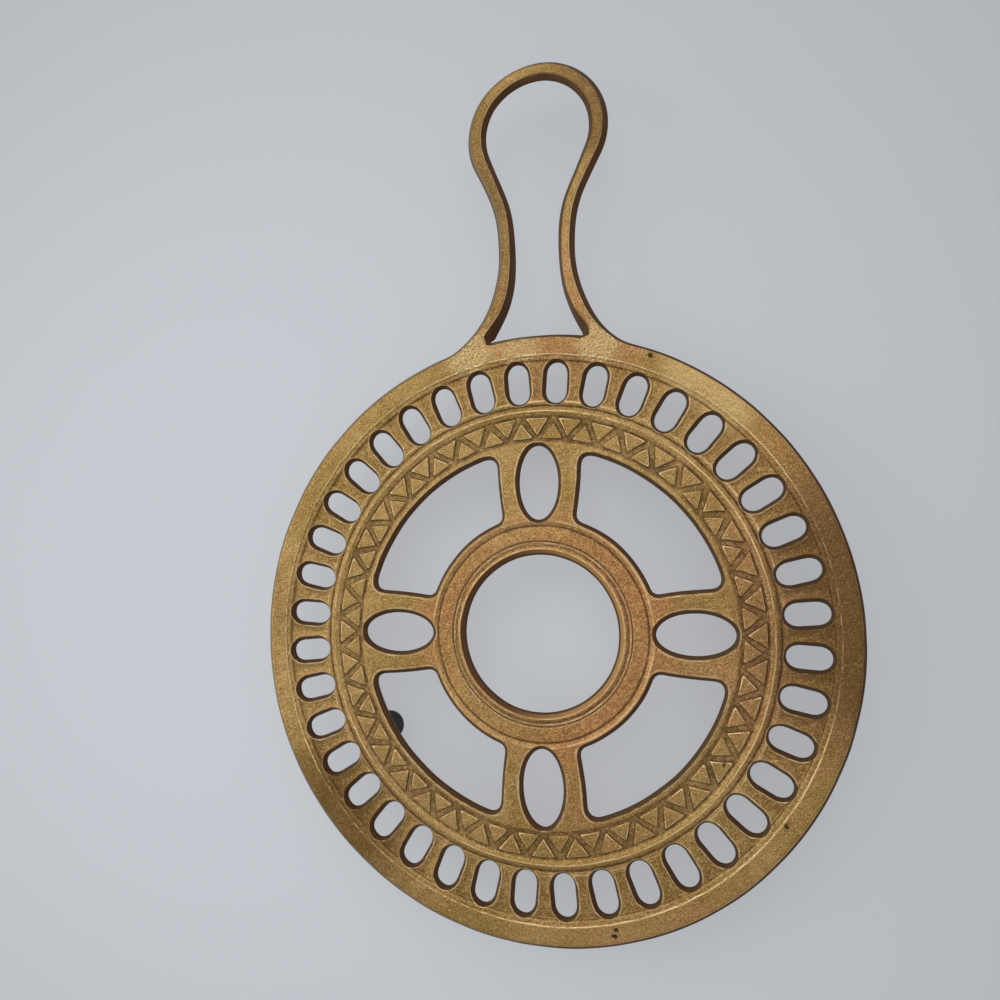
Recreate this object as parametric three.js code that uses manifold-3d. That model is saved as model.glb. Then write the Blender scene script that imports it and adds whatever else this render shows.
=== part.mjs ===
// Cast brass trivet: a pierced disc with a looped handle, on three cast legs that wear rubber boots.
// Millimetres, +Z up. The handle points along +Y and the boots stand on z = 0.
// The origin is below the middle of the whole outline, so the disc's own centre lies on -Y.

import * as THREE from "three";
import { mergeVertices } from "three/addons/utils/BufferGeometryUtils.js";
import Module from "manifold-3d";

// Whole object
const DISC_RADIUS = 79.2; // to the parting line round the rim
const HANDLE_REACH = 155.6; // disc centre to the far end of the handle
const STANDING_HEIGHT = 16; // table to the rim's top face
const PLATE_THICKNESS = 3.8; // rim and handle, top face to underside

// Every edge swells from its top lip to a waist at mid thickness, as a two-part mould leaves it
const RIM_EDGE = 0.8;
const SLOT_EDGE = 0.7;
const QUADRANT_EDGE = 0.9;
const LENS_EDGE = 0.95;
const HOLE_EDGE = 1.1;
const HANDLE_EDGE = 1.25;
const EDGE_SHARE = 0.37; // share of the thickness that a bevel takes on the rim and handle

// Depths below the rim's top face
const RIB_DROP = 0.9;
const BEAD_DROP = 0.4;
const TRIANGLE_DROP = 0.55;
const GROOVE_DROP = 1.2;
const SPOKE_DROP = 0.6;
const RING_LIP_DROP = 0.45;
const TRACK_DROP = 0.75;

// Band, from the rim's edge inwards
const RIM_FLAT = 4.8;
const RIM_SLOPE = 1.8;
const SLOT_COUNT = 40;
const SLOT_LENGTH = 10.8; // at the waist, as is the width
const SLOT_WIDTH = 5.7;
const SLOT_END_LAND = 0.25; // foot of the rim's slope to the slot's outer end
const RIB_END_SET_BACK = 0.55; // how far the ribs' inner edge lies inside the slot's inner end
const RIB_SLOPE = 1.3;
const BEAD_FLAT = 1.2;
const BEAD_SLOPE = 1.45;
const STEP_RUN = 0.3; // width of every steep step up from a groove
const ZIGZAG_WIDTH = 7;
const ZIGZAG_OUTER_GAP = 0.7; // bead's foot to the outward triangle bases
const ZIGZAG_INNER_GAP = 1.0; // inner lip to the inward triangle bases
const CHANNEL_WIDTH = 1.5; // square across the zigzag channel
const TRIANGLE_EDGE = 0.25; // run of the bevel round each triangle
const LIP_FLAT = 0.5; // narrow border of the four quadrant openings

// Centre ring, from the hole outwards
const HOLE_RADIUS = 20.4; // at the waist
const RING_INNER_LIP = 1.2;
const RING_GROOVE = 1.3;
const RING_TRACK = 3.6;
const RING_OUTER_SLOPE = 1.2;
const RING_OUTER_LIP = 0.7;

// Four spokes, each with a lens-shaped opening
const SPOKE_COUNT = 4;
const SPOKE_WIDTH_AT_RING = 19.8;
const SPOKE_WIDTH_AT_BAND = 22.9;
const SPOKE_SWELL = 0.4; // how far each side bows out past a straight line
const RING_CORNER = 2.2; // length along each side that a rounded corner takes
const BAND_CORNER = 3.6;
const LENS_LENGTH = 19.7;
const LENS_WIDTH = 10.5;

// Handle, outline at the waist
const LOOP_RADIUS = 19.45; // outside of the round end
const LOOP_BAR = 5.1;
const NECK_HALF_WIDTH = 10.6; // outside, at the neck
const NECK_BAR = 4.45;
const NECK_DISTANCE = 102; // disc centre to the narrowest place of the neck
const LOOP_LEAVE_ANGLE = 33; // degrees below the loop's equator where its outside leaves the arc
const LOOP_INNER_LEAVE_ANGLE = 20;
const FLARE_HALF_WIDTH = 26.7; // where the outside runs into the rim
const GAP_HALF_WIDTH = 14.05; // of the gap between the legs of the handle, at the rim
const NECK_PULL = 0.4; // share of the run below and above the neck that stays nearly straight
const FLARE_PULL = 0.37; // share of the flare's half width over which it leaves the rim
const GAP_CORNER_PULL = 9.4; // how far up the gap's lower corner keeps its slant

// Legs and boots
const LEG_COUNT = 3;
const LEG_CIRCLE = 55.5; // radius of the circle that the legs stand on
const LEG_ROOT_RADIUS = 4.6;
const LEG_RADIUS = 3.5;
const LEG_FILLET = 1.6; // height of the flare at the root
const PEG_RADIUS = 2.3;
const BOOT_HEIGHT = 6.6;
const BOOT_RADIUS = 3.95;
const BOOT_TOP_RADIUS = 3.6;
const BOOT_FLOOR = 2; // rubber under the peg
const BOOT_ROUNDING = 0.5;
const BOOT_CLEARANCE = 0.3; // all round the peg and under the leg's shoulder

// Facets
const BAND_SEGMENTS = 2 * SLOT_COUNT;
const HUB_SEGMENTS = 40;
const LEG_SEGMENTS = 16;
const SLOT_STEPS = 2; // per arc, which three.js doubles, as it does the next two
const QUADRANT_STEPS = 4;
const LENS_STEPS = 11;
const CURVE_STEPS = 5;
const OVERRUN = 2; // how far a cutter reaches past both faces

// Levels and radii that follow from the sizes above
const top = STANDING_HEIGHT;
const underside = top - PLATE_THICKNESS;
const edgeDepth = PLATE_THICKNESS * EDGE_SHARE;
const upperWaist = top - edgeDepth;
const lowerWaist = underside + edgeDepth;
const middle = (upperWaist + lowerWaist) / 2;
const groove = top - GROOVE_DROP;

const rimLip = DISC_RADIUS - RIM_EDGE;
const rimShoulder = rimLip - RIM_FLAT;
const ribOuter = rimShoulder - RIM_SLOPE;
const slotCentre = ribOuter - SLOT_END_LAND - SLOT_LENGTH / 2;
const ribInner = slotCentre - SLOT_LENGTH / 2 + RIB_END_SET_BACK;
const beadOuter = ribInner - RIB_SLOPE;
const beadShoulder = beadOuter - STEP_RUN - BEAD_FLAT;
const zigzagOuter = beadShoulder - BEAD_SLOPE;
const zigzagInner = zigzagOuter - ZIGZAG_WIDTH;
const lipOuter = zigzagInner - STEP_RUN;
const bandLip = lipOuter - LIP_FLAT;
const bandWaist = bandLip - QUADRANT_EDGE;

const holeLip = HOLE_RADIUS + HOLE_EDGE;
const innerLipEnd = holeLip + RING_INNER_LIP;
const trackInner = innerLipEnd + STEP_RUN + RING_GROOVE;
const trackOuter = trackInner + RING_TRACK;
const ringShoulder = trackOuter + STEP_RUN + RING_OUTER_SLOPE;
const ringLip = ringShoulder + RING_OUTER_LIP;
const ringWaist = ringLip + QUADRANT_EDGE;

const wasm = await Module();
wasm.setup();

// A closed three.js geometry as a solid that can be joined and cut.
function solidFrom(geometry) {
  const plain = geometry.clone();
  plain.deleteAttribute("normal");
  plain.deleteAttribute("uv");
  const merged = mergeVertices(plain, 1e-4);
  const mesh = new wasm.Mesh({
    numProp: 3,
    vertProperties: merged.attributes.position.array,
    triVerts: new Uint32Array(merged.index.array),
  });
  return new wasm.Manifold(mesh);
}

function geometryFrom(solid) {
  const mesh = solid.getMesh();
  const geometry = new THREE.BufferGeometry();
  geometry.setAttribute("position", new THREE.BufferAttribute(mesh.vertProperties, 3));
  geometry.setIndex(new THREE.BufferAttribute(mesh.triVerts, 1));
  geometry.computeVertexNormals();
  return geometry;
}

// A closed profile of [radius, height] pairs, anticlockwise, turned about Z.
function turned(profile, segments) {
  const points = profile.map(([r, z]) => new THREE.Vector2(r, z));
  points.push(points[0].clone());
  const geometry = new THREE.LatheGeometry(points, segments);
  geometry.rotateX(Math.PI / 2);
  return geometry;
}

// Two cutters, above each other, for a hole whose walls flare from a waist halfway through to both faces.
function flaredCutters(waistShape, flare, faceLevel, steps) {
  const settings = {
    depth: OVERRUN,
    curveSegments: steps,
    bevelEnabled: true,
    bevelThickness: (faceLevel - underside) / 2,
    bevelSize: flare,
    bevelSegments: 1,
  };
  const upper = new THREE.ExtrudeGeometry(waistShape, settings);
  upper.translate(0, 0, faceLevel);
  const lower = new THREE.ExtrudeGeometry(waistShape, settings);
  lower.translate(0, 0, underside - OVERRUN);
  return [upper, lower].map(solidFrom);
}

function turnedAbout(solid, count, startAngle = 0) {
  return Array.from({ length: count }, (_, i) => solid.rotate([0, 0, startAngle + (i * 360) / count]));
}

function union(solids) {
  return solids.reduce((whole, solid) => whole.add(solid));
}

// Rim, slot band, bead, zigzag floor and inner lip, before anything is cut.
function makeBand() {
  const profile = [
    [DISC_RADIUS, lowerWaist],
    [DISC_RADIUS, upperWaist],
    [rimLip, top],
    [rimShoulder, top],
    [ribOuter, top - RIB_DROP],
    [ribInner, top - RIB_DROP],
    [beadOuter, groove],
    [beadOuter - STEP_RUN, top - BEAD_DROP],
    [beadShoulder, top - BEAD_DROP],
    [zigzagOuter, groove],
    [zigzagInner, groove],
    [lipOuter, top - SPOKE_DROP],
    [bandLip, top - SPOKE_DROP],
    [bandWaist, middle],
    [bandLip, underside],
    [rimLip, underside],
  ];
  return solidFrom(turned(profile, BAND_SEGMENTS));
}

// Centre ring with its two lips and track, and the plain plate that the spokes are cut from.
function makeHub() {
  const plateEdge = (bandLip + lipOuter) / 2;
  const profile = [
    [HOLE_RADIUS, middle],
    [holeLip, underside],
    [plateEdge, underside],
    [plateEdge, top - SPOKE_DROP],
    [ringLip + STEP_RUN, top - SPOKE_DROP],
    [ringLip, top - RING_LIP_DROP],
    [ringShoulder, top - RING_LIP_DROP],
    [trackOuter + STEP_RUN, groove],
    [trackOuter, top - TRACK_DROP],
    [trackInner, top - TRACK_DROP],
    [trackInner - STEP_RUN, groove],
    [innerLipEnd + STEP_RUN, groove],
    [innerLipEnd, top - RING_LIP_DROP],
    [holeLip, top - RING_LIP_DROP],
  ];
  return solidFrom(turned(profile, HUB_SEGMENTS));
}

// One radial slot with round ends, lying along +X.
function makeSlotCutters() {
  const r = SLOT_WIDTH / 2;
  const reach = SLOT_LENGTH / 2 - r;
  const shape = new THREE.Shape();
  shape.absarc(slotCentre + reach, 0, r, -Math.PI / 2, Math.PI / 2);
  shape.absarc(slotCentre - reach, 0, r, Math.PI / 2, (3 * Math.PI) / 2);
  return flaredCutters(shape, SLOT_EDGE, top - RIB_DROP, SLOT_STEPS);
}

// The opening between two spokes, in the first quarter: a rim arc, a ring arc and two bowed sides.
function makeQuadrantCutters() {
  const ringHalf = SPOKE_WIDTH_AT_RING / 2;
  const bandHalf = SPOKE_WIDTH_AT_BAND / 2;
  const ringCorner = new THREE.Vector2(Math.sqrt(ringWaist ** 2 - ringHalf ** 2), ringHalf);
  const bandCorner = new THREE.Vector2(Math.sqrt(bandWaist ** 2 - bandHalf ** 2), bandHalf);
  const sideMiddle = ringCorner.clone().lerp(bandCorner, 0.5);
  sideMiddle.y += 2 * SPOKE_SWELL;
  const side = new THREE.QuadraticBezierCurve(ringCorner, sideMiddle, bandCorner);
  const sideLength = side.getLength();
  const sideFrom = RING_CORNER / sideLength;
  const sideTo = 1 - BAND_CORNER / sideLength;
  const low = Array.from({ length: CURVE_STEPS + 1 }, (_, i) =>
    side.getPointAt(sideFrom + ((sideTo - sideFrom) * i) / CURVE_STEPS),
  );
  const high = low.map((p) => new THREE.Vector2(p.y, p.x)).reverse();
  const bandStart = bandCorner.angle() + BAND_CORNER / bandWaist;
  const ringStart = ringCorner.angle() + RING_CORNER / ringWaist;
  const quarter = Math.PI / 2;

  const shape = new THREE.Shape();
  shape.moveTo(low[0].x, low[0].y);
  low.slice(1).forEach((p) => shape.lineTo(p.x, p.y));
  const bandEntry = new THREE.Vector2(Math.cos(bandStart), Math.sin(bandStart)).multiplyScalar(bandWaist);
  shape.quadraticCurveTo(bandCorner.x, bandCorner.y, bandEntry.x, bandEntry.y);
  shape.absarc(0, 0, bandWaist, bandStart, quarter - bandStart);
  shape.quadraticCurveTo(bandCorner.y, bandCorner.x, high[0].x, high[0].y);
  high.slice(1).forEach((p) => shape.lineTo(p.x, p.y));
  const ringEntry = new THREE.Vector2(Math.sin(ringStart), Math.cos(ringStart)).multiplyScalar(ringWaist);
  shape.quadraticCurveTo(ringCorner.y, ringCorner.x, ringEntry.x, ringEntry.y);
  shape.absarc(0, 0, ringWaist, quarter - ringStart, ringStart, true);
  shape.quadraticCurveTo(ringCorner.x, ringCorner.y, low[0].x, low[0].y);
  return flaredCutters(shape, QUADRANT_EDGE, top - SPOKE_DROP, QUADRANT_STEPS);
}

// The lens-shaped opening in the spoke along +X, centred between ring and band.
function makeLensCutters() {
  const centre = (ringLip + bandLip) / 2;
  const shape = new THREE.Shape();
  shape.absellipse(centre, 0, LENS_LENGTH / 2, LENS_WIDTH / 2, 0, 2 * Math.PI);
  return flaredCutters(shape, LENS_EDGE, top - SPOKE_DROP, LENS_STEPS);
}

// Raised triangles, whose gaps make the zigzag channel and its two borders.
function makeTriangles() {
  const halfPitch = Math.PI / SLOT_COUNT;
  const baseOuter = zigzagOuter - ZIGZAG_OUTER_GAP;
  const baseInner = zigzagInner + ZIGZAG_INNER_GAP;
  const peakOuter = new THREE.Vector2(baseOuter, 0);
  const peakInner = new THREE.Vector2(Math.cos(halfPitch), Math.sin(halfPitch)).multiplyScalar(baseInner);
  const run = peakInner.clone().sub(peakOuter);
  const lengthAlong = (CHANNEL_WIDTH / 2) * (run.length() / Math.abs(run.y));
  const widthAlong = (CHANNEL_WIDTH / 2) * (run.length() / Math.abs(run.x));
  const lift = top - TRIANGLE_DROP - groove;

  // A triangle on the X axis from its base radius to its apex radius.
  function triangle(baseRadius, apexRadius) {
    const halfBase = Math.tan(halfPitch) * baseRadius - widthAlong;
    const shape = new THREE.Shape([
      new THREE.Vector2(baseRadius, -halfBase),
      new THREE.Vector2(baseRadius, halfBase),
      new THREE.Vector2(apexRadius, 0),
    ]);
    const geometry = new THREE.ExtrudeGeometry(shape, {
      depth: GROOVE_DROP,
      bevelEnabled: true,
      bevelThickness: lift,
      bevelSize: TRIANGLE_EDGE,
      bevelOffset: -TRIANGLE_EDGE,
      bevelSegments: 1,
    });
    geometry.translate(0, 0, groove - GROOVE_DROP);
    return solidFrom(geometry);
  }

  const inward = turnedAbout(triangle(baseOuter, baseInner + lengthAlong), SLOT_COUNT);
  const outward = turnedAbout(triangle(baseInner, baseOuter - lengthAlong), SLOT_COUNT, 180 / SLOT_COUNT);
  return [...inward, ...outward];
}

// One side of the handle's outline, from the rim up to the loop's equator, as points on +X.
function handleSide(neckHalf, loopRadius, leaveAngle, footPoint, footPull) {
  const loopCentre = HANDLE_REACH - LOOP_RADIUS;
  const leave = THREE.MathUtils.degToRad(-leaveAngle);
  const leavePoint = new THREE.Vector2(
    loopRadius * Math.cos(leave),
    loopCentre + loopRadius * Math.sin(leave),
  );
  const along = new THREE.Vector2(Math.sin(leave), -Math.cos(leave));
  const neckPoint = new THREE.Vector2(neckHalf, NECK_DISTANCE);
  const upperRun = leavePoint.y - NECK_DISTANCE;
  const lowerRun = NECK_DISTANCE - footPoint.y;
  const lower = new THREE.CubicBezierCurve(
    footPoint,
    footPull,
    new THREE.Vector2(neckHalf, NECK_DISTANCE - lowerRun * NECK_PULL),
    neckPoint,
  );
  const upper = new THREE.CubicBezierCurve(
    neckPoint,
    new THREE.Vector2(neckHalf, NECK_DISTANCE + upperRun * NECK_PULL),
    leavePoint.clone().addScaledVector(along, upperRun * NECK_PULL),
    leavePoint,
  );
  const arc = new THREE.EllipseCurve(0, loopCentre, loopRadius, loopRadius, leave, 0);
  const points = [lower, upper, arc].flatMap((curve) => curve.getPoints(CURVE_STEPS).slice(0, -1));
  return { points, loopCentre };
}

// A closed outline from one side, the round top and the mirrored side.
function handleOutline(side, loopRadius) {
  const round = new THREE.EllipseCurve(0, side.loopCentre, loopRadius, loopRadius, 0, Math.PI);
  const mirrored = side.points.map((p) => new THREE.Vector2(-p.x, p.y)).reverse();
  return [...side.points, ...round.getPoints(2 * CURVE_STEPS), ...mirrored];
}

// The looped handle, whose two legs flare into the rim.
function makeHandle() {
  const rimHeight = (x) => Math.sqrt(DISC_RADIUS ** 2 - x ** 2);
  const slope = (x) => -x / rimHeight(x);
  const flareFoot = new THREE.Vector2(FLARE_HALF_WIDTH, rimHeight(FLARE_HALF_WIDTH) - RIM_EDGE);
  const flareRun = FLARE_HALF_WIDTH * FLARE_PULL;
  const flarePull = new THREE.Vector2(
    FLARE_HALF_WIDTH - flareRun,
    flareFoot.y - flareRun * slope(FLARE_HALF_WIDTH),
  );
  const outside = handleSide(NECK_HALF_WIDTH, LOOP_RADIUS, LOOP_LEAVE_ANGLE, flareFoot, flarePull);
  const gapFoot = new THREE.Vector2(GAP_HALF_WIDTH, rimHeight(GAP_HALF_WIDTH) - RIM_FLAT / 2);
  const gapPull = new THREE.Vector2(GAP_HALF_WIDTH - NECK_BAR, gapFoot.y + GAP_CORNER_PULL);
  const innerRadius = LOOP_RADIUS - LOOP_BAR;
  const inside = handleSide(
    NECK_HALF_WIDTH - NECK_BAR,
    innerRadius,
    LOOP_INNER_LEAVE_ANGLE,
    gapFoot,
    gapPull,
  );
  const shape = new THREE.Shape(handleOutline(outside, LOOP_RADIUS));
  shape.holes.push(new THREE.Path(handleOutline(inside, innerRadius)));
  const geometry = new THREE.ExtrudeGeometry(shape, {
    depth: PLATE_THICKNESS - 2 * edgeDepth,
    curveSegments: CURVE_STEPS,
    bevelEnabled: true,
    bevelThickness: edgeDepth,
    bevelSize: HANDLE_EDGE,
    bevelOffset: -HANDLE_EDGE,
    bevelSegments: 1,
  });
  geometry.translate(0, 0, lowerWaist);
  return solidFrom(geometry);
}

function legAngle(i) {
  return Math.PI / 2 + (i * 2 * Math.PI) / LEG_COUNT;
}

// A cast leg with a flared root, a shoulder and the peg that the boot goes over.
function makeLegs() {
  const shoulder = BOOT_HEIGHT + BOOT_CLEARANCE;
  const pegEnd = BOOT_FLOOR + BOOT_CLEARANCE;
  const profile = [
    [0, pegEnd],
    [PEG_RADIUS, pegEnd],
    [PEG_RADIUS, shoulder],
    [LEG_RADIUS, shoulder],
    [(LEG_RADIUS + LEG_ROOT_RADIUS) / 2 - BOOT_CLEARANCE / 2, underside - LEG_FILLET],
    [LEG_ROOT_RADIUS, underside],
    [LEG_ROOT_RADIUS, middle],
    [0, middle],
  ];
  const leg = turned(profile, LEG_SEGMENTS);
  return Array.from({ length: LEG_COUNT }, (_, i) => {
    const placed = leg.clone();
    placed.translate(LEG_CIRCLE * Math.cos(legAngle(i)), LEG_CIRCLE * Math.sin(legAngle(i)), 0);
    return solidFrom(placed);
  });
}

function makeCasting() {
  const raised = union([makeBand(), makeHub(), makeHandle(), ...makeTriangles()]);
  const quarterTurns = (cutters, start) => cutters.flatMap((c) => turnedAbout(c, SPOKE_COUNT, start));
  const cutters = [
    ...makeSlotCutters().flatMap((c) => turnedAbout(c, SLOT_COUNT, 180 / SLOT_COUNT)),
    ...quarterTurns(makeQuadrantCutters(), 0),
    ...quarterTurns(makeLensCutters(), 0),
  ];
  const pierced = cutters.reduce((rest, cutter) => rest.subtract(cutter), raised);
  return geometryFrom(union([pierced, ...makeLegs()]));
}

// A rubber boot: a round-bottomed cup with a blind bore for the leg's peg.
function makeBoot() {
  const bore = PEG_RADIUS + BOOT_CLEARANCE;
  const profile = [
    [0, 0],
    [BOOT_RADIUS - BOOT_ROUNDING, 0],
    [BOOT_RADIUS, BOOT_ROUNDING],
    [BOOT_RADIUS, BOOT_HEIGHT / 3],
    [BOOT_TOP_RADIUS, BOOT_HEIGHT - BOOT_ROUNDING],
    [BOOT_TOP_RADIUS - BOOT_ROUNDING, BOOT_HEIGHT],
    [bore, BOOT_HEIGHT],
    [bore, BOOT_FLOOR],
    [0, BOOT_FLOOR],
  ];
  return turned(profile, LEG_SEGMENTS);
}

const brass = new THREE.MeshStandardMaterial({ color: 0xa8864c, roughness: 0.42, metalness: 1 });
const rubber = new THREE.MeshStandardMaterial({ color: 0x17171a, roughness: 0.8, metalness: 0 });

const trivet = new THREE.Group();
trivet.position.y = (DISC_RADIUS - HANDLE_REACH) / 2;

const casting = new THREE.Mesh(makeCasting(), brass);
casting.name = "brass_casting";
trivet.add(casting);

["handle", "left", "right"].forEach((side, i) => {
  const boot = new THREE.Mesh(makeBoot(), rubber);
  boot.name = "rubber_boot_" + side;
  boot.position.set(LEG_CIRCLE * Math.cos(legAngle(i)), LEG_CIRCLE * Math.sin(legAngle(i)), 0);
  trivet.add(boot);
});

export default trivet;
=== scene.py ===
"""Brass trivet: the fine casting, its legs, the rubber boots, the finishes, the studio, the camera.

Blender 4.5. The frame is in metres with +Z up, and the handle points along +Y. Sizes of the casting
are written in millimetres from the disc's centre, and become metres when a mesh is made.
"""

import math
from functools import reduce

import bpy
import numpy as np
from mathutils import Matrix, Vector, noise
from mathutils.geometry import delaunay_2d_cdt
from mathutils.kdtree import KDTree


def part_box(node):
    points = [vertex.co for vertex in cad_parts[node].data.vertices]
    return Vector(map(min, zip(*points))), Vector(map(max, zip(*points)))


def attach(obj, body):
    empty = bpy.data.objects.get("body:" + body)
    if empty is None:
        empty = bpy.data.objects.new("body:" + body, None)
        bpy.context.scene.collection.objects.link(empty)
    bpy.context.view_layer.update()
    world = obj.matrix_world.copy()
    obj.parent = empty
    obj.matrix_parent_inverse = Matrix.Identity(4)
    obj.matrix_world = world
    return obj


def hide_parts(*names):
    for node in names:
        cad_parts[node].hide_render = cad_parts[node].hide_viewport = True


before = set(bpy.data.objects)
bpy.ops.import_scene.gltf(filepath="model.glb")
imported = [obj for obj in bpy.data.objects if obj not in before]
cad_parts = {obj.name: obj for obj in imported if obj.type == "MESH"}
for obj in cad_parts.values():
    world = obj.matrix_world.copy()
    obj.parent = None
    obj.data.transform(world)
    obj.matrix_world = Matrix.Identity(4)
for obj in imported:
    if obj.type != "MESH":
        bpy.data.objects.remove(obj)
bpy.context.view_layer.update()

MM = 0.001

# The frame's own sizes, in millimetres
casting_low, casting_high = (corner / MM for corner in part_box("brass_casting"))
DISC_RADIUS = (casting_high.x - casting_low.x) / 2
DISC_Y = casting_low.y + DISC_RADIUS
HANDLE_REACH = casting_high.y - DISC_Y
TOP = casting_high.z

# Thickness, and how deep the waist lies, where the two mould halves meet in every wall
PLATE = 3.8
UNDER = TOP - PLATE
WAIST_RADII = (32, 42, 52, 58, 73, 77)
WAIST_DROPS = (1.4, 1.8, 1.8, 2.1, 2.1, 0.8)
HANDLE_WAIST_DROP = 1.9
HANDLE_CROWN = 0.32  # how much lower the handle's top is at its lips than along its middle
GAP_WAIST_DROP = 3.3

# Drops below the rim's top face
RIB_DROP = 0.6
RIB_DISH = 0.4  # how much lower a rib is along its middle
BEAD_DROP = 0.3
BEAD_SIDE_DROP = 0.5
TRIANGLE_DROP = 0.42
GROOVE_DROP = 0.9
SPOKE_DROP = 0.45
RING_LIP_DROP = 0.35
TRACK_DROP = 0.62
RIDGE_DROP = 0.66
RIM_STEP_DROP = 0.3

# Radii of the relief, from the rim inwards
EDGE_KEEP_IN = 0.1  # how far the uneven rim stays inside the frame's box
RIM_WELD = 76.0  # where the turned band meets the rim's edge and the handle
RIM_SHOULDER = 73.75
RIM_STEP_OUTER = 73.3
RIM_STEP_INNER = 72.6
RIB_OUTER = 72.2
RIB_INNER = 61.2
BEAD_FOOT = 60.0
BEAD_OUTER = 59.6
BEAD_RIDGE = 58.85
BEAD_SHOULDER = 58.45
ZIGZAG_OUTER = 57.1
ZIGZAG_INNER = 50.75
LIP_OUTER = 50.05
LIP_WELD = 50.9  # where the turned band meets the spokes
BAND_WAIST = 48.4
RING_WAIST = 30.95
RING_LIP = 30.05
RING_SHOULDER = 29.4
TRACK_OUTER = 27.9
TRACK_INNER = 24.35
RIDGE = 23.7
INNER_LIP_END = 22.8
HOLE_LIP = 21.75
HOLE_WAIST = 20.45

# Slots and zigzag
SLOT_COUNT = 40
PITCH = 360 / SLOT_COUNT
SLOT_CENTRE = 66.42
SLOT_LENGTH = 10.8
SLOT_WIDTH = 5.6
SLOT_END = 3.4  # length of a slot's rounded end
SLOT_SQUARENESS = 2.15  # 2 makes the end an ellipse
BASE_OUTER = 56.95  # of the triangles that point inwards
BASE_INNER = 51.2  # of those that point outwards
TURN_OUTER = 56.7  # where the middle of the zigzag channel turns
TURN_INNER = 51.0
CHANNEL_WIDTH = 1.08
TRIANGLE_BEVEL = 0.25

# Spokes and their lens openings
SPOKE_COUNT = 4
SPOKE_HALF_AT_RING = 9.75
SPOKE_HALF_AT_BAND = 11.45
SPOKE_SWELL = 0.4
RING_CORNER = 2.0
BAND_CORNER = 3.8
LENS_CENTRE = 39.65
LENS_HALF_LENGTH = 9.85
LENS_HALF_WIDTH = 5.25

# Widths in plan of the sloping walls, from waist to lip
SLOT_SIDE_WALL = 0.95
SLOT_END_WALL = 0.7
QUADRANT_WALL = 0.95
LENS_WALL = 1.0
HOLE_WALL = HOLE_LIP - HOLE_WAIST
RIM_WALL = 1.05
HANDLE_WALL = 1.16
GAP_WALL = 1.05
RIM_RUBBED = 0.7  # how much sooner the rim's wall is rubbed bright than the other walls
UNDER_WALL = 0.6
LIP_ROUND = 0.16
UNDER_WALL_STEPS = (UNDER_WALL - LIP_ROUND, UNDER_WALL + LIP_ROUND)

# Handle
LOOP_RADIUS = 19.6
LOOP_BAR = 5.15
LOOP_LEAVE_ANGLE = 27
LOOP_INNER_LEAVE_ANGLE = 21
NECK_DISTANCE = 102
NECK_HALF_WIDTH = 10.55
NECK_BAR = 4.55
NECK_PULL = 0.41
NECK_INNER_PULL = 0.455
LOOP_PULL = 0.46
LOOP_INNER_PULL = 0.5
FLARE_HALF_WIDTH = 25.5
FLARE_PULL = 0.333
GAP_HALF_WIDTH = 12.9
GAP_CORNER_PULL = (-5.0, 9.0)
GAP_CORNER_ROUND = 0.5
GAP_DEEP_START = 1.2  # distance from the rim at which the gap's waist is deepest
GAP_DEEP_END = 34  # and at which it has risen to that of the handle
GAP_DEEP_RISE = 20  # length over which it rises
GAP_CORNER_WALL = 1.25  # how much wider the gap's wall is in its lower corners
GAP_CORNER_REACH = 5
ROOT_START = -2  # distance from the rim's edge at which the handle's own section begins
ROOT_LENGTH = 8
HANDLE_LEAN = 0.25  # how far the bars stand to the right, as the casting bent when it cooled
HANDLE_LEAN_LENGTH = 10
LOOP_LEAN = 1.0  # how much further the loop's far end stands

# Legs and boots
LEG_CIRCLE = 55.5
LEG_COUNT = 3
LEG_RADIUS = 3.5
LEG_FLARE = 1.1
PEG_RADIUS = 2.3
PEG_END = 2.3
BOOT_GAP = 0.3
BOOT_NODES = ("rubber_boot_handle", "rubber_boot_left", "rubber_boot_right")
boot_low, boot_high = (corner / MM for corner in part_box("rubber_boot_handle"))
boot_height = boot_high.z
boot_radius = (boot_high.x - boot_low.x) / 2

# Finish: place, reach and share of each darker, hammered, or rubbed and highlit area on the casting
DARKER_AREAS = (
    ((86, 0), 52, 1.0),
    ((74, 31), 26, 0.5),
    ((-58, -56), 50, 0.7),
    ((-84, 2), 34, 0.5),
    ((-12, 104), 34, 0.45),
    ((-24, 130), 45, 0.5),
    ((18, 142), 32, 0.75),
)
HAMMERED = (((17, 76), 9, 1.0), ((-19, 76), 11, 1.0), ((-4, 76), 10, 0.7))
# the first two rubbed areas, on the rim's upper right, also carry a painted highlight of the rim's
# curve
RUBBED_AND_HIGHLIT = (((50, 57), 15, 0.55), ((38, 66), 12, 0.5), ((-70, 30), 26, 0.3), ((20, -75), 30, 0.35))

# Finish: radius, half width and strength of the worn circles of the relief, and of the dark circles
# in its corners, which hold grime and painted shade
WORN_CIRCLES = (
    (73.75, 0.26, 0.8),
    (61.3, 0.5, 0.6),
    (58.7, 0.3, 0.75),
    (49.95, 0.22, 0.4),
    (29.5, 0.4, 0.62),
    (23.55, 0.35, 0.55),
    (22.05, 0.4, 0.62),
)
DARK_CORNER_CIRCLES = (
    (73.3, 0.2, 0.4),
    (72.15, 0.3, 0.5),
    (60.2, 0.4, 0.6),
    (57.35, 0.3, 0.5),
    (50.8, 0.3, 0.5),
    (28.2, 0.6, 0.5),
    (24.1, 0.4, 0.5),
    (22.95, 0.35, 0.5),
)
PITS = (  # radius, angle and size of the casting's pits and chips
    (77.4, 67, 1.0),
    (76.6, 283.5, 1.1),
    (75.2, 284.2, 0.7),
    (74.7, 323, 0.9),
    (25.0, 331, 0.9),
    (54.5, 221.7, 0.9),
    (55.5, 325.7, 0.9),
)
PIT_BEND = 1.6  # how far their outlines are bent out of round

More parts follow.
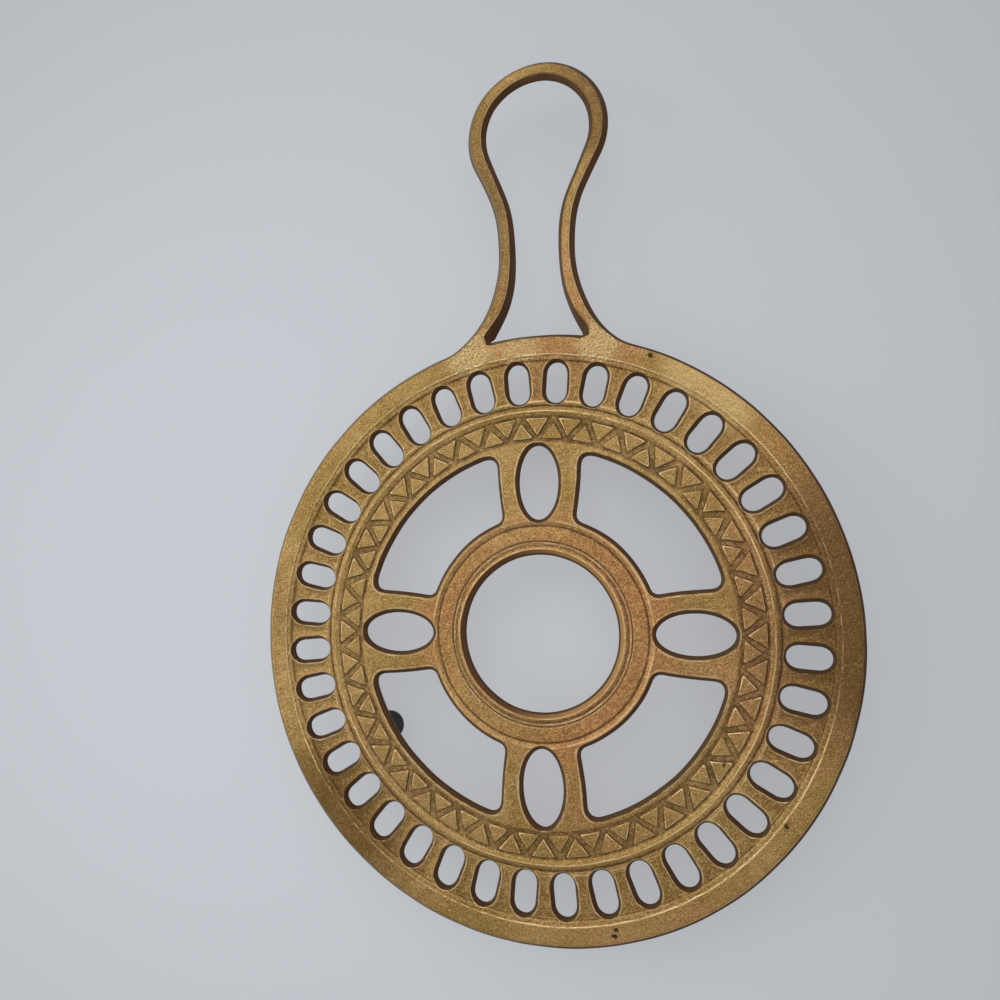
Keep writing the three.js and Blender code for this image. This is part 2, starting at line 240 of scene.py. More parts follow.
# Camera: its place from the middle of the rim's top face, and its turns about X, Y and Z in degrees
CAMERA_PLACE = (50.46, 18.54, 219.51)
CAMERA_TURN = (4.339, 15.427, -1.82)
FOCAL_PIXELS = 857.27
PICTURE_PIXELS = 1000

# Studio: sizes in metres, and each lamp's name, place from the disc's middle, size and power
FLOOR_REACH = 6
FLOOR_LIGHT_CENTRE = (-0.09, -0.03, 0)  # where the painted pool of light on the floor is brightest
FLOOR_LIGHT_FADE = (0.03, 0.33)  # distances from there between which the painted light fades
FLOOR_GLOW = 0.62  # share of the floor's look that takes no shadow
SKY_COLOUR = (0.93, 0.96, 1, 1)
SKY_STRENGTH = 0.62
LAMPS = (
    ("window", (-1.0, 0.15, 0.5), 0.8, 3.6),
    ("skylight", (0.1, 0.8, 0.95), 1.1, 4.6),
)

# Fineness of the casting's mesh
ARC_PARTS = 8  # of one pitch, on every turned circle
LENS_POINTS = 48
LINE_STEP = 0.9  # spacing of the points along the handle and the quadrant openings
FILL_STEP = 1.25  # spacing of the points between the lines
RIM_FILL_STEP = 0.9
UNDER_FILL_STEP = 2.4
RIM_UNDER_FILL_STEP = 2.2
UNDER_RING_CIRCLE = 24.5  # radius of a circle of points in the ring's underside
WELD = 0.01
SLIVER = 1e-6  # area under which a triangle is left out
BEND_REACH = 0.32  # how far round a point its ridge or hollow is judged
BEND_GAIN = 9

# Lines that follow a wall from its waist, as shares of its width
SLOT_SHARES = (0, 0.33, 0.66, 0.82, 1, 1.2, 1.5)
RIM_SHARES = (0, 0.25, 0.5, 0.7, 0.85, 1, 1.15, 1.3, 1.6)
UNDER_SHARES = (0.75, 1.2)

# How far the casting is out of true: the noises' seed, and the width and height of their waves
NOISE_SEED = 11
WIDE_WAVE = (31, 0.1)
CLOSE_WAVE = (7.5, 0.09)
SINK_WAVE = (13, 0.05)


def polar(radius, degrees):
    """The points at these radii and angles about the disc's centre."""
    angle = np.radians(degrees)
    return np.stack(np.broadcast_arrays(radius * np.cos(angle), radius * np.sin(angle)), axis=-1)


def bezier(start, pull_start, pull_end, end, count=40):
    """A cubic curve through its first and last point."""
    t = np.linspace(0, 1, count + 1)[:, None]
    s = 1 - t
    a, b, c, d = (np.asarray(p, float) for p in (start, pull_start, pull_end, end))
    return a * s**3 + 3 * b * s**2 * t + 3 * c * s * t**2 + d * t**3


def curve_to(start, corner, end, count):
    """A curve from start to end that rounds off the corner between them."""
    return bezier(start, (start + 2 * corner) / 3, (end + 2 * corner) / 3, end, count)


def respaced(points, step, closed=False):
    """The same line with points at equal distances, its ends kept."""
    line = np.vstack([points, points[:1]]) if closed else np.asarray(points)
    along = np.concatenate([[0], np.cumsum(np.linalg.norm(np.diff(line, axis=0), axis=1))])
    count = max(2, round(along[-1] / step))
    marks = np.linspace(0, along[-1], count + 1)
    even = np.column_stack([np.interp(marks, along, line[:, k]) for k in (0, 1)])
    return even[:-1] if closed else even


def softened(points, reach):
    """A closed line of equally spaced points whose corners are rounded over the given reach."""
    spacing = np.linalg.norm(points[1] - points[0])
    steps = max(1, round(reach / spacing))
    shifts = range(-steps, steps + 1)
    weights = np.array([steps + 1 - abs(s) for s in shifts], float)
    return sum(w * np.roll(points, s, axis=0) for w, s in zip(weights, shifts)) / weights.sum()


def moved_out(points, distance):
    """A closed anticlockwise line moved to its outside by a distance, or by one for each point."""
    ahead = np.roll(points, -1, axis=0) - np.roll(points, 1, axis=0)
    ahead /= np.linalg.norm(ahead, axis=1, keepdims=True)
    outside = np.column_stack([ahead[:, 1], -ahead[:, 0]])
    return points + outside * np.reshape(distance, (-1, 1))


def distance_to_line(points, line, closed=True):
    """How far each point is from a line."""
    ends = np.roll(line, -1, axis=0) if closed else line[1:]
    starts = line if closed else line[:-1]
    way = ends - starts
    square = np.maximum((way**2).sum(axis=1), 1e-12)
    nearest = np.empty(len(points))
    for low in range(0, len(points), 2000):
        away = points[low : low + 2000, None] - starts
        share = np.clip((away * way).sum(axis=2) / square, 0, 1)
        gap = away - share[..., None] * way
        nearest[low : low + 2000] = np.sqrt((gap**2).sum(axis=2).min(axis=1))
    return nearest


def inside(points, line):
    """Whether each point lies inside a closed line."""
    ends = np.roll(line, -1, axis=0)
    found = np.zeros(len(points), bool)
    for low in range(0, len(points), 2000):
        x, y = points[low : low + 2000].T[..., None]
        crosses = (line[:, 1] > y) != (ends[:, 1] > y)
        rise = np.where(ends[:, 1] == line[:, 1], 1e-12, ends[:, 1] - line[:, 1])
        at = line[:, 0] + (y - line[:, 1]) / rise * (ends[:, 0] - line[:, 0])
        found[low : low + 2000] = (crosses & (x < at)).sum(axis=1) % 2 == 1
    return found


def soft_ramp(x, width, rounding=LIP_ROUND, round_foot=False):
    """Rises from 0 at x = 0 to 1 at x = width, with its upper corner rounded, or both."""

    def summed(v):
        slope = np.where(v < width, v**2 / (2 * width), v - width / 2)
        return np.where(v < 0, 0, slope) if round_foot else slope

    return (summed(x + rounding) - summed(x - rounding)) / (2 * rounding)


class Plan:
    """Points and lines in plan that a patch of the casting is meshed along."""

    def __init__(self):
        self.points = []
        self.edges = []

    def line(self, points, closed=False):
        first = len(self.points)
        self.points.extend(map(tuple, points))
        last = len(self.points) - 1
        self.edges += [(i, i + 1) for i in range(first, last)]
        if closed:
            self.edges.append((last, first))

    def add(self, pairs):
        """Adds single edges, given by their two ends."""
        for pair in pairs:
            self.line(pair)

    def fill(self, low, high, step, wanted):
        """Adds points of a staggered grid where they are wanted and clear of the lines."""
        xs = np.arange(low[0], high[0], step)
        ys = np.arange(low[1], high[1], step * math.sqrt(3) / 2)
        grid = np.array([(x + step / 2 * (row % 2), y) for row, y in enumerate(ys) for x in xs])
        grid = grid[wanted(grid)]
        tree = KDTree(len(self.points))
        for i, (x, y) in enumerate(self.points):
            tree.insert((x, y, 0), i)
        tree.balance()
        self.points.extend(tuple(p) for p in grid if tree.find((p[0], p[1], 0))[2] > step * 0.6)

    def triangles(self, is_metal):
        """The mesh of the plan's metal: its points and its anticlockwise triangles."""
        flat = [Vector(p) for p in self.points]
        points, _, faces, _, _, _ = delaunay_2d_cdt(flat, self.edges, [], 0, WELD, False)
        points = np.array([tuple(p) for p in points])
        faces = np.array([f for f in faces if len(f) == 3])
        first, second, third = points[faces].transpose(1, 0, 2)
        area = np.abs(np.cross(second - first, third - first)) / 2
        faces = faces[area > SLIVER]
        return points, faces[is_metal(points[faces].mean(axis=1))]


def make_relief():
    """The height of the casting's top face over the radius, as a function."""
    corners = [
        (0, RING_LIP_DROP),
        (INNER_LIP_END - 0.5, RING_LIP_DROP),
        (INNER_LIP_END, RIDGE_DROP),
        (RIDGE - 0.5, GROOVE_DROP),
        (RIDGE - 0.25, GROOVE_DROP),
        (RIDGE, RIDGE_DROP),
        (RIDGE + 0.25, GROOVE_DROP),
        (TRACK_INNER - 0.3, GROOVE_DROP),
        (TRACK_INNER, TRACK_DROP),
        (TRACK_OUTER, TRACK_DROP),
        (TRACK_OUTER + 0.25, GROOVE_DROP),
        (RING_SHOULDER, RING_LIP_DROP),
        (RING_LIP, RING_LIP_DROP),
        (RING_LIP + 0.2, SPOKE_DROP),
        (LIP_OUTER, SPOKE_DROP),
        (ZIGZAG_INNER, GROOVE_DROP),
        (ZIGZAG_OUTER, GROOVE_DROP),
        (BEAD_SHOULDER, BEAD_DROP),
        (BEAD_RIDGE, BEAD_DROP),
        (BEAD_OUTER, BEAD_SIDE_DROP),
        (BEAD_FOOT, GROOVE_DROP),
        (RIB_INNER, RIB_DROP),
        (RIB_OUTER, RIB_DROP),
        (RIM_STEP_INNER, RIM_STEP_DROP),
        (RIM_STEP_OUTER, RIM_STEP_DROP),
        (RIM_SHOULDER, 0),
        (DISC_RADIUS + HANDLE_REACH, 0),
    ]
    radii, drops = np.array(corners).T
    fine = 0.02
    steps = round(LIP_ROUND / fine)
    places = np.arange(0, DISC_RADIUS + 5, fine)
    kernel = np.ones(2 * steps + 1) / (2 * steps + 1)
    heights = np.convolve(TOP - np.interp(places, radii, drops), kernel, mode="same")
    heights[: 2 * steps] = TOP - RING_LIP_DROP
    heights[-2 * steps :] = TOP
    return lambda radius: np.interp(radius, places, heights)


relief = make_relief()


class Triangle:
    """One raised triangle of the zigzag, pointing along the radius on which it is centred."""

    def __init__(self, base, apex):
        run = np.abs(polar(TURN_INNER, PITCH / 2) - (TURN_OUTER, 0))
        self.base = base
        self.side = math.copysign(1, apex - base)
        self.apex = apex - self.side * CHANNEL_WIDTH / 2 * np.hypot(*run) / run[1]
        self.half_angle = math.atan2(run[1], run[0])

    def corners(self, inset):
        """Base middle, base corner and apex of the half on the +Y side, its edges moved in."""
        base = self.base + self.side * inset
        apex = self.apex - self.side * inset / math.sin(self.half_angle)
        half = abs(apex - base) * math.tan(self.half_angle)
        return np.array([(base, 0), (base, half), (apex, 0)])

    def depth_inside(self, x, y):
        """How far points lie inside the edges, negative outside."""
        from_base = (x - self.base) * self.side
        from_apex = (self.apex - x) * self.side
        from_side = from_apex * math.sin(self.half_angle) - np.abs(y) * math.cos(self.half_angle)
        return np.minimum(from_base, from_side)


inward_triangle = Triangle(BASE_OUTER, TURN_INNER)
outward_triangle = Triangle(BASE_INNER, TURN_OUTER)


def inside_triangles(points):
    """How far points lie inside the zigzag's triangles, one of which is centred on +X."""
    radius = np.hypot(*points.T)
    degrees = np.degrees(np.arctan2(points[:, 1], points[:, 0]))
    depth = np.full(len(points), -1.0)
    for triangle, centre in ((inward_triangle, 0), (outward_triangle, PITCH / 2)):
        local = polar(radius, (degrees - centre + PITCH / 2) % PITCH - PITCH / 2)
        depth = np.maximum(depth, triangle.depth_inside(local[:, 0], local[:, 1]))
    return depth


def triangle_lift(points):
    """Height that the zigzag's triangles add above the groove."""
    lifted = soft_ramp(inside_triangles(points), TRIANGLE_BEVEL, 0.08, round_foot=True)
    return (GROOVE_DROP - TRIANGLE_DROP) * lifted


def turned(points, degrees):
    """Points turned about the disc's centre."""
    c, s = math.cos(math.radians(degrees)), math.sin(math.radians(degrees))
    return np.asarray(points) @ np.array([[c, s], [-s, c]])


def mirrored(points):
    """Points mirrored in the X axis."""
    return np.asarray(points) * (1, -1)


def wall_steps(width):
    """Distances from the waist of the lines that follow a wall and its lip."""
    return [0, 0.33 * width, 0.66 * width, width - LIP_ROUND, width, width + LIP_ROUND]


def slot_wall(points):
    """Width of the wall of the slot on +X near points: wider along its sides than at its ends."""
    along = np.maximum(np.abs(points[:, 0] - SLOT_CENTRE) - SLOT_LENGTH / 2 + SLOT_END, 0)
    turn = along / np.maximum(np.hypot(along, points[:, 1]), 1e-6)
    return SLOT_SIDE_WALL + (SLOT_END_WALL - SLOT_SIDE_WALL) * turn**2


def waist_height(points):
    """Height of the waist: deepest in the slots, high round the rim's edge."""
    drop = np.interp(np.hypot(*points.T), WAIST_RADII, WAIST_DROPS)
    return TOP - drop - (HANDLE_WAIST_DROP - drop) * handle_share(points)


def handle_share(points):
    """0 on the disc and 1 on the handle, passing smoothly from one to the other at its root."""
    share = np.clip((points[:, 1] - (DISC_RADIUS + ROOT_START)) / ROOT_LENGTH, 0, 1)
    return share * share * (3 - 2 * share)


def under_face(points):
    """Height of the underside away from the walls."""
    return np.full(len(points), UNDER)


def shell(plan_top, plan_under, is_metal, depths, rounding, faces, waist=waist_height):
    """Vertices and faces of a patch from its two plans, and how far each vertex is past the waist.

    The upper and the lower skin meet in the points of the upper one that lie on the waist. Depths
    are the functions that give the upper and the lower wall's share at a point: 0 at the waist, 1
    at the wall's end. Faces give the heights of the skins off the walls, and waist its own height.
    """
    skins = []
    triangles = []
    shares = []
    for plan, depth, face in zip((plan_top, plan_under), depths, faces):
        points, corners = plan.triangles(is_metal)
        foot = waist(points)
        share = depth(points)
        height = foot + (face(points) - foot) * soft_ramp(share, 1, rounding)
        skins.append(np.column_stack([points, height]))
        triangles.append(corners)
        shares.append(share)
        if plan is plan_top:
            sides = [corners[:, pair] for pair in ([0, 1], [1, 2], [2, 0])]
            edges = np.sort(np.vstack(sides), axis=1)
            pairs, uses = np.unique(edges, axis=0, return_counts=True)
            on_waist = np.abs(share) < 1e-4
            pairs = pairs[(uses == 1) & on_waist[pairs].all(axis=1)]
            plan_under.add(points[pairs])
    low = triangles[1][:, ::-1] + len(skins[0])
    return np.vstack(skins), np.vstack([triangles[0], low]), np.concatenate(shares)


def patch_object(name, vertices, faces, shares):
    """An object of these vertices, in millimetres about the disc's centre.

    Its attribute wall is 1.5 at the waist, 0.5 on the lip and 0 on the flats. Radius, and bevel,
    which is how far a point lies inside a triangle, are in millimetres.
    """
    mesh = bpy.data.meshes.new(name)
    mesh.from_pydata((vertices * MM).tolist(), [], faces.tolist())
    plan = vertices[:, :2]
    bevel = np.clip(inside_triangles(turned(plan, PITCH / 2)), -0.6, 1)
    wall = np.clip(1.5 - shares, 0, 1.5)
    for key, value in (("wall", wall), ("radius", np.hypot(*plan.T)), ("bevel", bevel)):
        mesh.attributes.new(key, "FLOAT", "POINT").data.foreach_set("value", value)
    made = bpy.data.objects.new(name, mesh)
    bpy.context.scene.collection.objects.link(made)
    return made


def slot_line(share):
    """The outline of a slot on +X, its waist moved out by a share of its wall."""
    angle = np.radians(np.linspace(-90, 90, 60))
    along = SLOT_LENGTH / 2 - SLOT_END + SLOT_END * np.cos(angle) ** (2 / SLOT_SQUARENESS)
    across = SLOT_WIDTH / 2 * np.sign(angle) * np.abs(np.sin(angle)) ** (2 / SLOT_SQUARENESS)
    end = np.column_stack([along, across])
    waist = respaced(np.vstack([end, -end]), LINE_STEP, closed=True)
    waist += (SLOT_CENTRE, 0)
    return moved_out(waist, share * slot_wall(waist))


def band_sector():
    """One pitch of the band between the spokes and the rim, centred on a slot that lies on +X."""
    half = PITCH / 2
    circles = [
        LIP_WELD,
        ZIGZAG_OUTER,
        ZIGZAG_OUTER + LIP_ROUND,
        (ZIGZAG_OUTER + BEAD_SHOULDER) / 2,
        BEAD_SHOULDER - LIP_ROUND,
        BEAD_SHOULDER + LIP_ROUND,
        BEAD_RIDGE + LIP_ROUND,
        BEAD_OUTER - LIP_ROUND,
        BEAD_OUTER + 0.1,
        BEAD_FOOT,
        BEAD_FOOT + LIP_ROUND,
        RIB_INNER - 0.5,
        RIB_INNER - LIP_ROUND,
        RIB_INNER + LIP_ROUND,
        RIB_INNER + 0.6,
        RIB_OUTER - 0.6,
        RIB_OUTER - LIP_ROUND,
        RIB_OUTER + LIP_ROUND,
        RIM_STEP_INNER,
        (RIM_STEP_INNER + RIM_STEP_OUTER) / 2,
        RIM_STEP_OUTER,
        RIM_STEP_OUTER + 0.2,
        RIM_SHOULDER - 0.08,
        RIM_SHOULDER + LIP_ROUND,
        RIM_SHOULDER + 0.8,
        RIM_WELD,
    ]
    top = Plan()
    rays = {TURN_INNER} | set(circles) | set(np.linspace(RIB_INNER + 1.5, RIB_OUTER - 1.5, 8))
    insets = (-0.12, 0.0, 0.15, TRIANGLE_BEVEL, TRIANGLE_BEVEL + 0.3)
    for inset in insets:
        rays |= set(inward_triangle.corners(inset)[[0, 2], 0])
    for sign in (-1, 1):
        top.line(polar(np.array(sorted(rays)), sign * half))
    for radius in circles:
        top.line(polar(radius, np.linspace(-half, half, ARC_PARTS + 1)))
    top.line(respaced(polar([TURN_INNER, TURN_OUTER], [-half, 0]), 1.1))
    top.line(respaced(polar([TURN_OUTER, TURN_INNER], [0, half]), 1.1))
    for inset in insets:
        along = respaced(outward_triangle.corners(inset), 1.1)
        top.line(np.vstack([along, mirrored(along)[-2:0:-1]]), closed=True)
        edge = respaced(inward_triangle.corners(inset), 1.1)
        top.line(turned(edge, -half))
        top.line(turned(mirrored(edge), half))
    for share in SLOT_SHARES:
        top.line(slot_line(share), closed=True)

    slot = slot_line(0)
    sweep = np.linspace(-half, half, ARC_PARTS + 1)
    outline = np.vstack([polar(RIM_WELD, sweep), polar(LIP_WELD, sweep[::-1])])

    def is_metal(points):
        return inside(points, outline) & ~inside(points, slot)

    under = Plan()
    for sign in (-1, 1):
        under.line(polar(np.linspace(LIP_WELD, RIM_WELD, 12), sign * half))
    for radius in (LIP_WELD, RIM_WELD):
        under.line(polar(radius, np.linspace(-half, half, ARC_PARTS + 1)))
    for share in UNDER_SHARES:
        under.line(slot_line(share), closed=True)

    def in_sector(points):
        return np.abs(np.degrees(np.arctan2(points[:, 1], points[:, 0]))) < half - 1

    under.fill((50, -5), (61, 5), UNDER_FILL_STEP, in_sector)

    def top_face(points):
        radius = np.hypot(*points.T)
        on_rib = (radius > RIB_INNER) & (radius < RIB_OUTER)
        from_lip = distance_to_line(points, slot) - slot_wall(points)
        dish = RIB_DISH * soft_ramp(from_lip, 1.1, 0.2) * on_rib
        return relief(radius) + triangle_lift(turned(points, half)) - dish

    def share(points):
        return distance_to_line(points, slot) / slot_wall(points)

    return shell(top, under, is_metal, (share, share), 0.2, (top_face, under_face))


def quadrant_line(move):
    """The closed outline of the opening above the spoke on +X, its waist moved out into the metal.

    It is symmetric about the 45 degree ray. Its first point lies on that ray beside the ring, and
    it passes the spoke on +X first.
    """
    ring = np.array([math.sqrt(RING_WAIST**2 - SPOKE_HALF_AT_RING**2), SPOKE_HALF_AT_RING])
    band = np.array([math.sqrt(BAND_WAIST**2 - SPOKE_HALF_AT_BAND**2), SPOKE_HALF_AT_BAND])
    swell = (ring + band) / 2 + (0, 2 * SPOKE_SWELL)
    side = curve_to(ring, swell, band, 60)
    length = np.linalg.norm(band - ring)
    first = round(RING_CORNER / length * 60)
    last = 60 - round(BAND_CORNER / length * 60)
    ring_angle = math.degrees(math.atan2(*ring[::-1]) + RING_CORNER / RING_WAIST)
    band_angle = math.degrees(math.atan2(*band[::-1]) + BAND_CORNER / BAND_WAIST)
    ring_arc = polar(RING_WAIST, np.linspace(45, ring_angle, 24))
    band_arc = polar(BAND_WAIST, np.linspace(band_angle, 45, 32))
    ring_turn = curve_to(ring_arc[-1], ring, side[first], 12)
    band_turn = curve_to(side[last], band, band_arc[0], 12)
    half = np.vstack([ring_arc[:-1], ring_turn[:-1], side[first:last], band_turn[:-1], band_arc])
    half = respaced(half, LINE_STEP)
    other_half = half[-2:0:-1, ::-1]
    return moved_out(np.vstack([half, other_half]), move)


def lens_line(move):
    """The outline of the lens opening in the spoke on +X, its waist moved out."""
    angle = np.linspace(0, 2 * math.pi, LENS_POINTS, endpoint=False)
    waist = np.column_stack([LENS_HALF_LENGTH * np.cos(angle), LENS_HALF_WIDTH * np.sin(angle)])
    return moved_out(waist + (LENS_CENTRE, 0), move)


def spoke_quarter():
    """A quarter of the centre: part of the ring, the spoke on +X and the lip beside the band."""
    parts = round(ARC_PARTS * SLOT_COUNT / SPOKE_COUNT)
    sweep = np.linspace(-45, 45, parts + 1)
    lip_circles = [LIP_OUTER - LIP_ROUND, LIP_OUTER + LIP_ROUND, ZIGZAG_INNER - LIP_ROUND, LIP_WELD]
    ring_circles = [
        HOLE_LIP + 0.6,
        INNER_LIP_END - 0.5,
        INNER_LIP_END - 0.2,
        INNER_LIP_END,
        RIDGE - 0.5,
        RIDGE - 0.25,
        RIDGE,
        RIDGE + 0.25,
        TRACK_INNER - 0.22,
        TRACK_INNER,
        TRACK_INNER + 0.25,
        TRACK_INNER + 1.2,
        TRACK_OUTER - 1.2,
        TRACK_OUTER - LIP_ROUND,
        TRACK_OUTER + 0.05,
        TRACK_OUTER + 0.25,
        TRACK_OUTER + 0.45,
        (TRACK_OUTER + RING_SHOULDER) / 2 + 0.25,
        RING_SHOULDER - LIP_ROUND,
        RING_SHOULDER + LIP_ROUND,
    ]
    waist = quadrant_line(0)
    lens = lens_line(0)
    half_way = int(np.argmax(np.hypot(*waist.T)[: len(waist) // 2 + 2]))

    def folded(points):
        return np.column_stack([points[:, 0], np.abs(points[:, 1])])

    hole = polar(HOLE_WAIST, np.linspace(-45, 315, SPOKE_COUNT * parts, endpoint=False))

    def depth(points, widths):
        """How far points lie from the nearest waist, as a share of that wall's width."""
        to_quadrant = distance_to_line(folded(points), waist) / widths[0]
        to_lens = distance_to_line(points, lens) / widths[1]
        to_hole = distance_to_line(points, hole) / widths[2]
        return np.minimum(np.minimum(to_quadrant, to_lens), to_hole)

    outline = np.vstack([polar(LIP_WELD, sweep), polar(HOLE_WAIST, sweep[::-1])])

    def is_metal(points):
        return inside(points, outline) & ~inside(folded(points), waist) & ~inside(points, lens)

    def plan(quadrant_moves, lens_moves, hole_moves, circles, step):
        made = Plan()
        ray = {LIP_WELD, *circles}
        for move in quadrant_moves:
            half = quadrant_line(move)[: half_way + 1]
            made.line(half)
            made.line(mirrored(half))
            ray |= {np.hypot(*half[0]), np.hypot(*half[-1])}
        for move in lens_moves:
            made.line(lens_line(move), closed=True)
        for radius in sorted({*circles, LIP_WELD, *(HOLE_WAIST + move for move in hole_moves)}):
            made.line(polar(radius, sweep))
            ray.add(radius)
        ray = np.array(sorted(ray))
        for sign in (-1, 1):
            made.line(polar(ray[ray < RING_WAIST + 0.01], sign * 45))
            made.line(polar(ray[ray > BAND_WAIST - 0.01], sign * 45))
        made.fill((0, -LIP_WELD), (LIP_WELD, LIP_WELD), step, is_metal)
        return made

    walls = [wall_steps(width) for width in (QUADRANT_WALL, LENS_WALL, HOLE_WALL)]
    top = plan(*walls, ring_circles + lip_circles, FILL_STEP)
    under = plan(*[UNDER_WALL_STEPS] * 3, [UNDER_RING_CIRCLE], UNDER_FILL_STEP)

    def top_face(points):
        return relief(np.hypot(*points.T))

    def top_depth(points):
        return depth(points, (QUADRANT_WALL, LENS_WALL, HOLE_WALL))

    def under_depth(points):
        return depth(points, (UNDER_WALL, UNDER_WALL, UNDER_WALL))

    return shell(top, under, is_metal, (top_depth, under_depth), 0.17, (top_face, under_face))


def handle_side(neck_half, radius, leave_angle, pulls, foot, foot_pull):
    """The +X side of the handle's outline, from its foot at the rim to the top of the loop."""
    loop_centre = HANDLE_REACH - EDGE_KEEP_IN - LOOP_RADIUS
    leave = math.radians(-leave_angle)
    leave_point = np.array([radius * math.cos(leave), loop_centre + radius * math.sin(leave)])
    down = np.array([math.sin(leave), -math.cos(leave)])
    upper_pull = (leave_point[1] - NECK_DISTANCE) * pulls[1]
    lower_pull = (NECK_DISTANCE - foot[1]) * pulls[0]
    neck = (neck_half, NECK_DISTANCE)
    lower = bezier(foot, foot_pull, (neck_half, NECK_DISTANCE - lower_pull), neck)
    neck_pull = (neck_half, NECK_DISTANCE + upper_pull)
    upper = bezier(neck, neck_pull, leave_point + down * upper_pull, leave_point)
    end = polar(radius, np.linspace(-leave_angle, 90, 40)) + (0, loop_centre)
    return np.vstack([lower[:-1], upper[:-1], end])


def both_sides(side):
    """A line up one side and down the other."""
    return np.vstack([side, mirrored_sideways(side)[-2::-1]])


def mirrored_sideways(points):
    """Points mirrored in the Y axis."""
    return np.asarray(points) * (-1, 1)


def wall_width(points):
    """Width of the outer wall: the rim's, which passes into the handle's."""
    return RIM_WALL + (HANDLE_WALL - RIM_WALL) * handle_share(points)


def gap_wall_width(points):
    """Width of the bars' walls in the handle's gap, which spread in the gap's lower corners."""
    above_rim = np.clip(np.hypot(*points.T) - DISC_RADIUS + 0.6, 0, 1)
    return GAP_WALL + GAP_CORNER_WALL * near_gap_corner(points) * above_rim


def near_gap_corner(points):
    """1 in the lower corners of the handle's gap, falling to 0 around them."""
    away = np.hypot(np.abs(points[:, 0]) - GAP_HALF_WIDTH, points[:, 1] - DISC_RADIUS)
    return np.exp(-((away / GAP_CORNER_REACH) ** 2))


def outer_line():
    """The waist round the whole casting: up the handle, down again and round the rim."""
    radius = DISC_RADIUS - EDGE_KEEP_IN
    foot = np.array([FLARE_HALF_WIDTH, math.sqrt(radius**2 - FLARE_HALF_WIDTH**2)])
    run = FLARE_HALF_WIDTH * FLARE_PULL
    pull = foot + (-run, run * foot[0] / foot[1])
    pulls = (NECK_PULL, LOOP_PULL)
    side = handle_side(NECK_HALF_WIDTH, LOOP_RADIUS, LOOP_LEAVE_ANGLE, pulls, foot, pull)
    foot_angle = math.degrees(math.atan2(foot[1], foot[0]))
    rim = polar(radius, np.linspace(180 - foot_angle, 360 + foot_angle, 288))
    return np.vstack([respaced(both_sides(side), LINE_STEP), rim[1:-1]])


def gap_line():
    """The waist round the gap between the two bars of the handle."""
    radius = DISC_RADIUS - EDGE_KEEP_IN
    half_angle = math.degrees(math.asin(GAP_HALF_WIDTH / radius))
    base = polar(radius, np.linspace(90 + half_angle, 90 - half_angle, 30))
    neck_half = NECK_HALF_WIDTH - NECK_BAR
    radius = LOOP_RADIUS - LOOP_BAR
    pull = base[-1] + GAP_CORNER_PULL
    pulls = (NECK_INNER_PULL, LOOP_INNER_PULL)
    side = handle_side(neck_half, radius, LOOP_INNER_LEAVE_ANGLE, pulls, base[-1], pull)
    whole = respaced(np.vstack([base[:-1], both_sides(side)[:-1]]), LINE_STEP / 4, closed=True)
    return softened(whole, GAP_CORNER_ROUND)[::4]


def rim_and_handle():
    """The rim's outer edge all round, with the handle that grows out of it."""
    parts = ARC_PARTS * SLOT_COUNT
    circle = np.linspace(0, 360, parts, endpoint=False)
    outer = outer_line()
    gap = gap_line()
    on_rim = np.hypot(*gap.T) < DISC_RADIUS - EDGE_KEEP_IN + 0.15
    first = np.flatnonzero(~on_rim & np.roll(on_rim, 1))[0]
    gap = np.roll(gap, -first, axis=0)
    on_rim = np.roll(on_rim, -first)
    last = np.flatnonzero(on_rim)[0]
    gap_width = np.where(on_rim, wall_width(gap), gap_wall_width(gap))
    bars_side = gap[: last + 1]
    rim_side = np.vstack([gap[last:], gap[:1]])

    def depth(points):
        """How far points lie from the nearest waist, as a share of that wall's width."""
        to_outer = distance_to_line(points, outer) / wall_width(points)
        to_bars = distance_to_line(points, bars_side, closed=False) / gap_wall_width(points)
        to_rim = distance_to_line(points, rim_side, closed=False) / wall_width(points)
        return np.minimum(np.minimum(to_outer, to_bars), to_rim)

    def waist(points):
        """Height of the waist, which lies deeper in the lower part of the gap."""
        to_outer = distance_to_line(points, outer)
        share = to_outer / np.maximum(to_outer + distance_to_line(points, gap), 1e-6)
        away = np.hypot(*points.T) - DISC_RADIUS
        share = share * np.clip(away / GAP_DEEP_START, 0, 1)
        share = share * np.clip((GAP_DEEP_END - away) / GAP_DEEP_RISE, 0, 1)
        height = waist_height(points)
        return height + (TOP - GAP_WAIST_DROP - height) * share * share * (3 - 2 * share)

    weld = polar(RIM_WELD, circle)

    def is_metal(points):
        return inside(points, outer) & ~inside(points, gap) & ~inside(points, weld)

    def plan(shares, circles, step):
        made = Plan()
        for share in shares:
            made.line(moved_out(outer, -share * wall_width(outer)), closed=True)
            made.line(moved_out(gap, share * gap_width), closed=True)
        for radius in circles:
            made.line(polar(radius, circle), closed=True)
        reach = DISC_RADIUS + 1
        made.fill((-reach, -reach), (reach, HANDLE_REACH), step, is_metal)
        return made

    top = plan(RIM_SHARES, [RIM_WELD, RIM_WELD + 0.7], RIM_FILL_STEP)
    under = plan(UNDER_SHARES, [RIM_WELD], RIM_UNDER_FILL_STEP)

    def top_face(points):
        crown = np.clip(2 - depth(points), 0, 1) ** 2 * handle_share(points)
        return TOP - HANDLE_CROWN * crown

    skins = (top_face, under_face)
    vertices, faces, shares = shell(top, under, is_metal, (depth, depth), 0.3, skins, waist)
    rubbed = (1 - handle_share(vertices[:, :2])) * (1 - near_gap_corner(vertices[:, :2]))
    return vertices, faces, shares * (1 + RIM_RUBBED * rubbed)


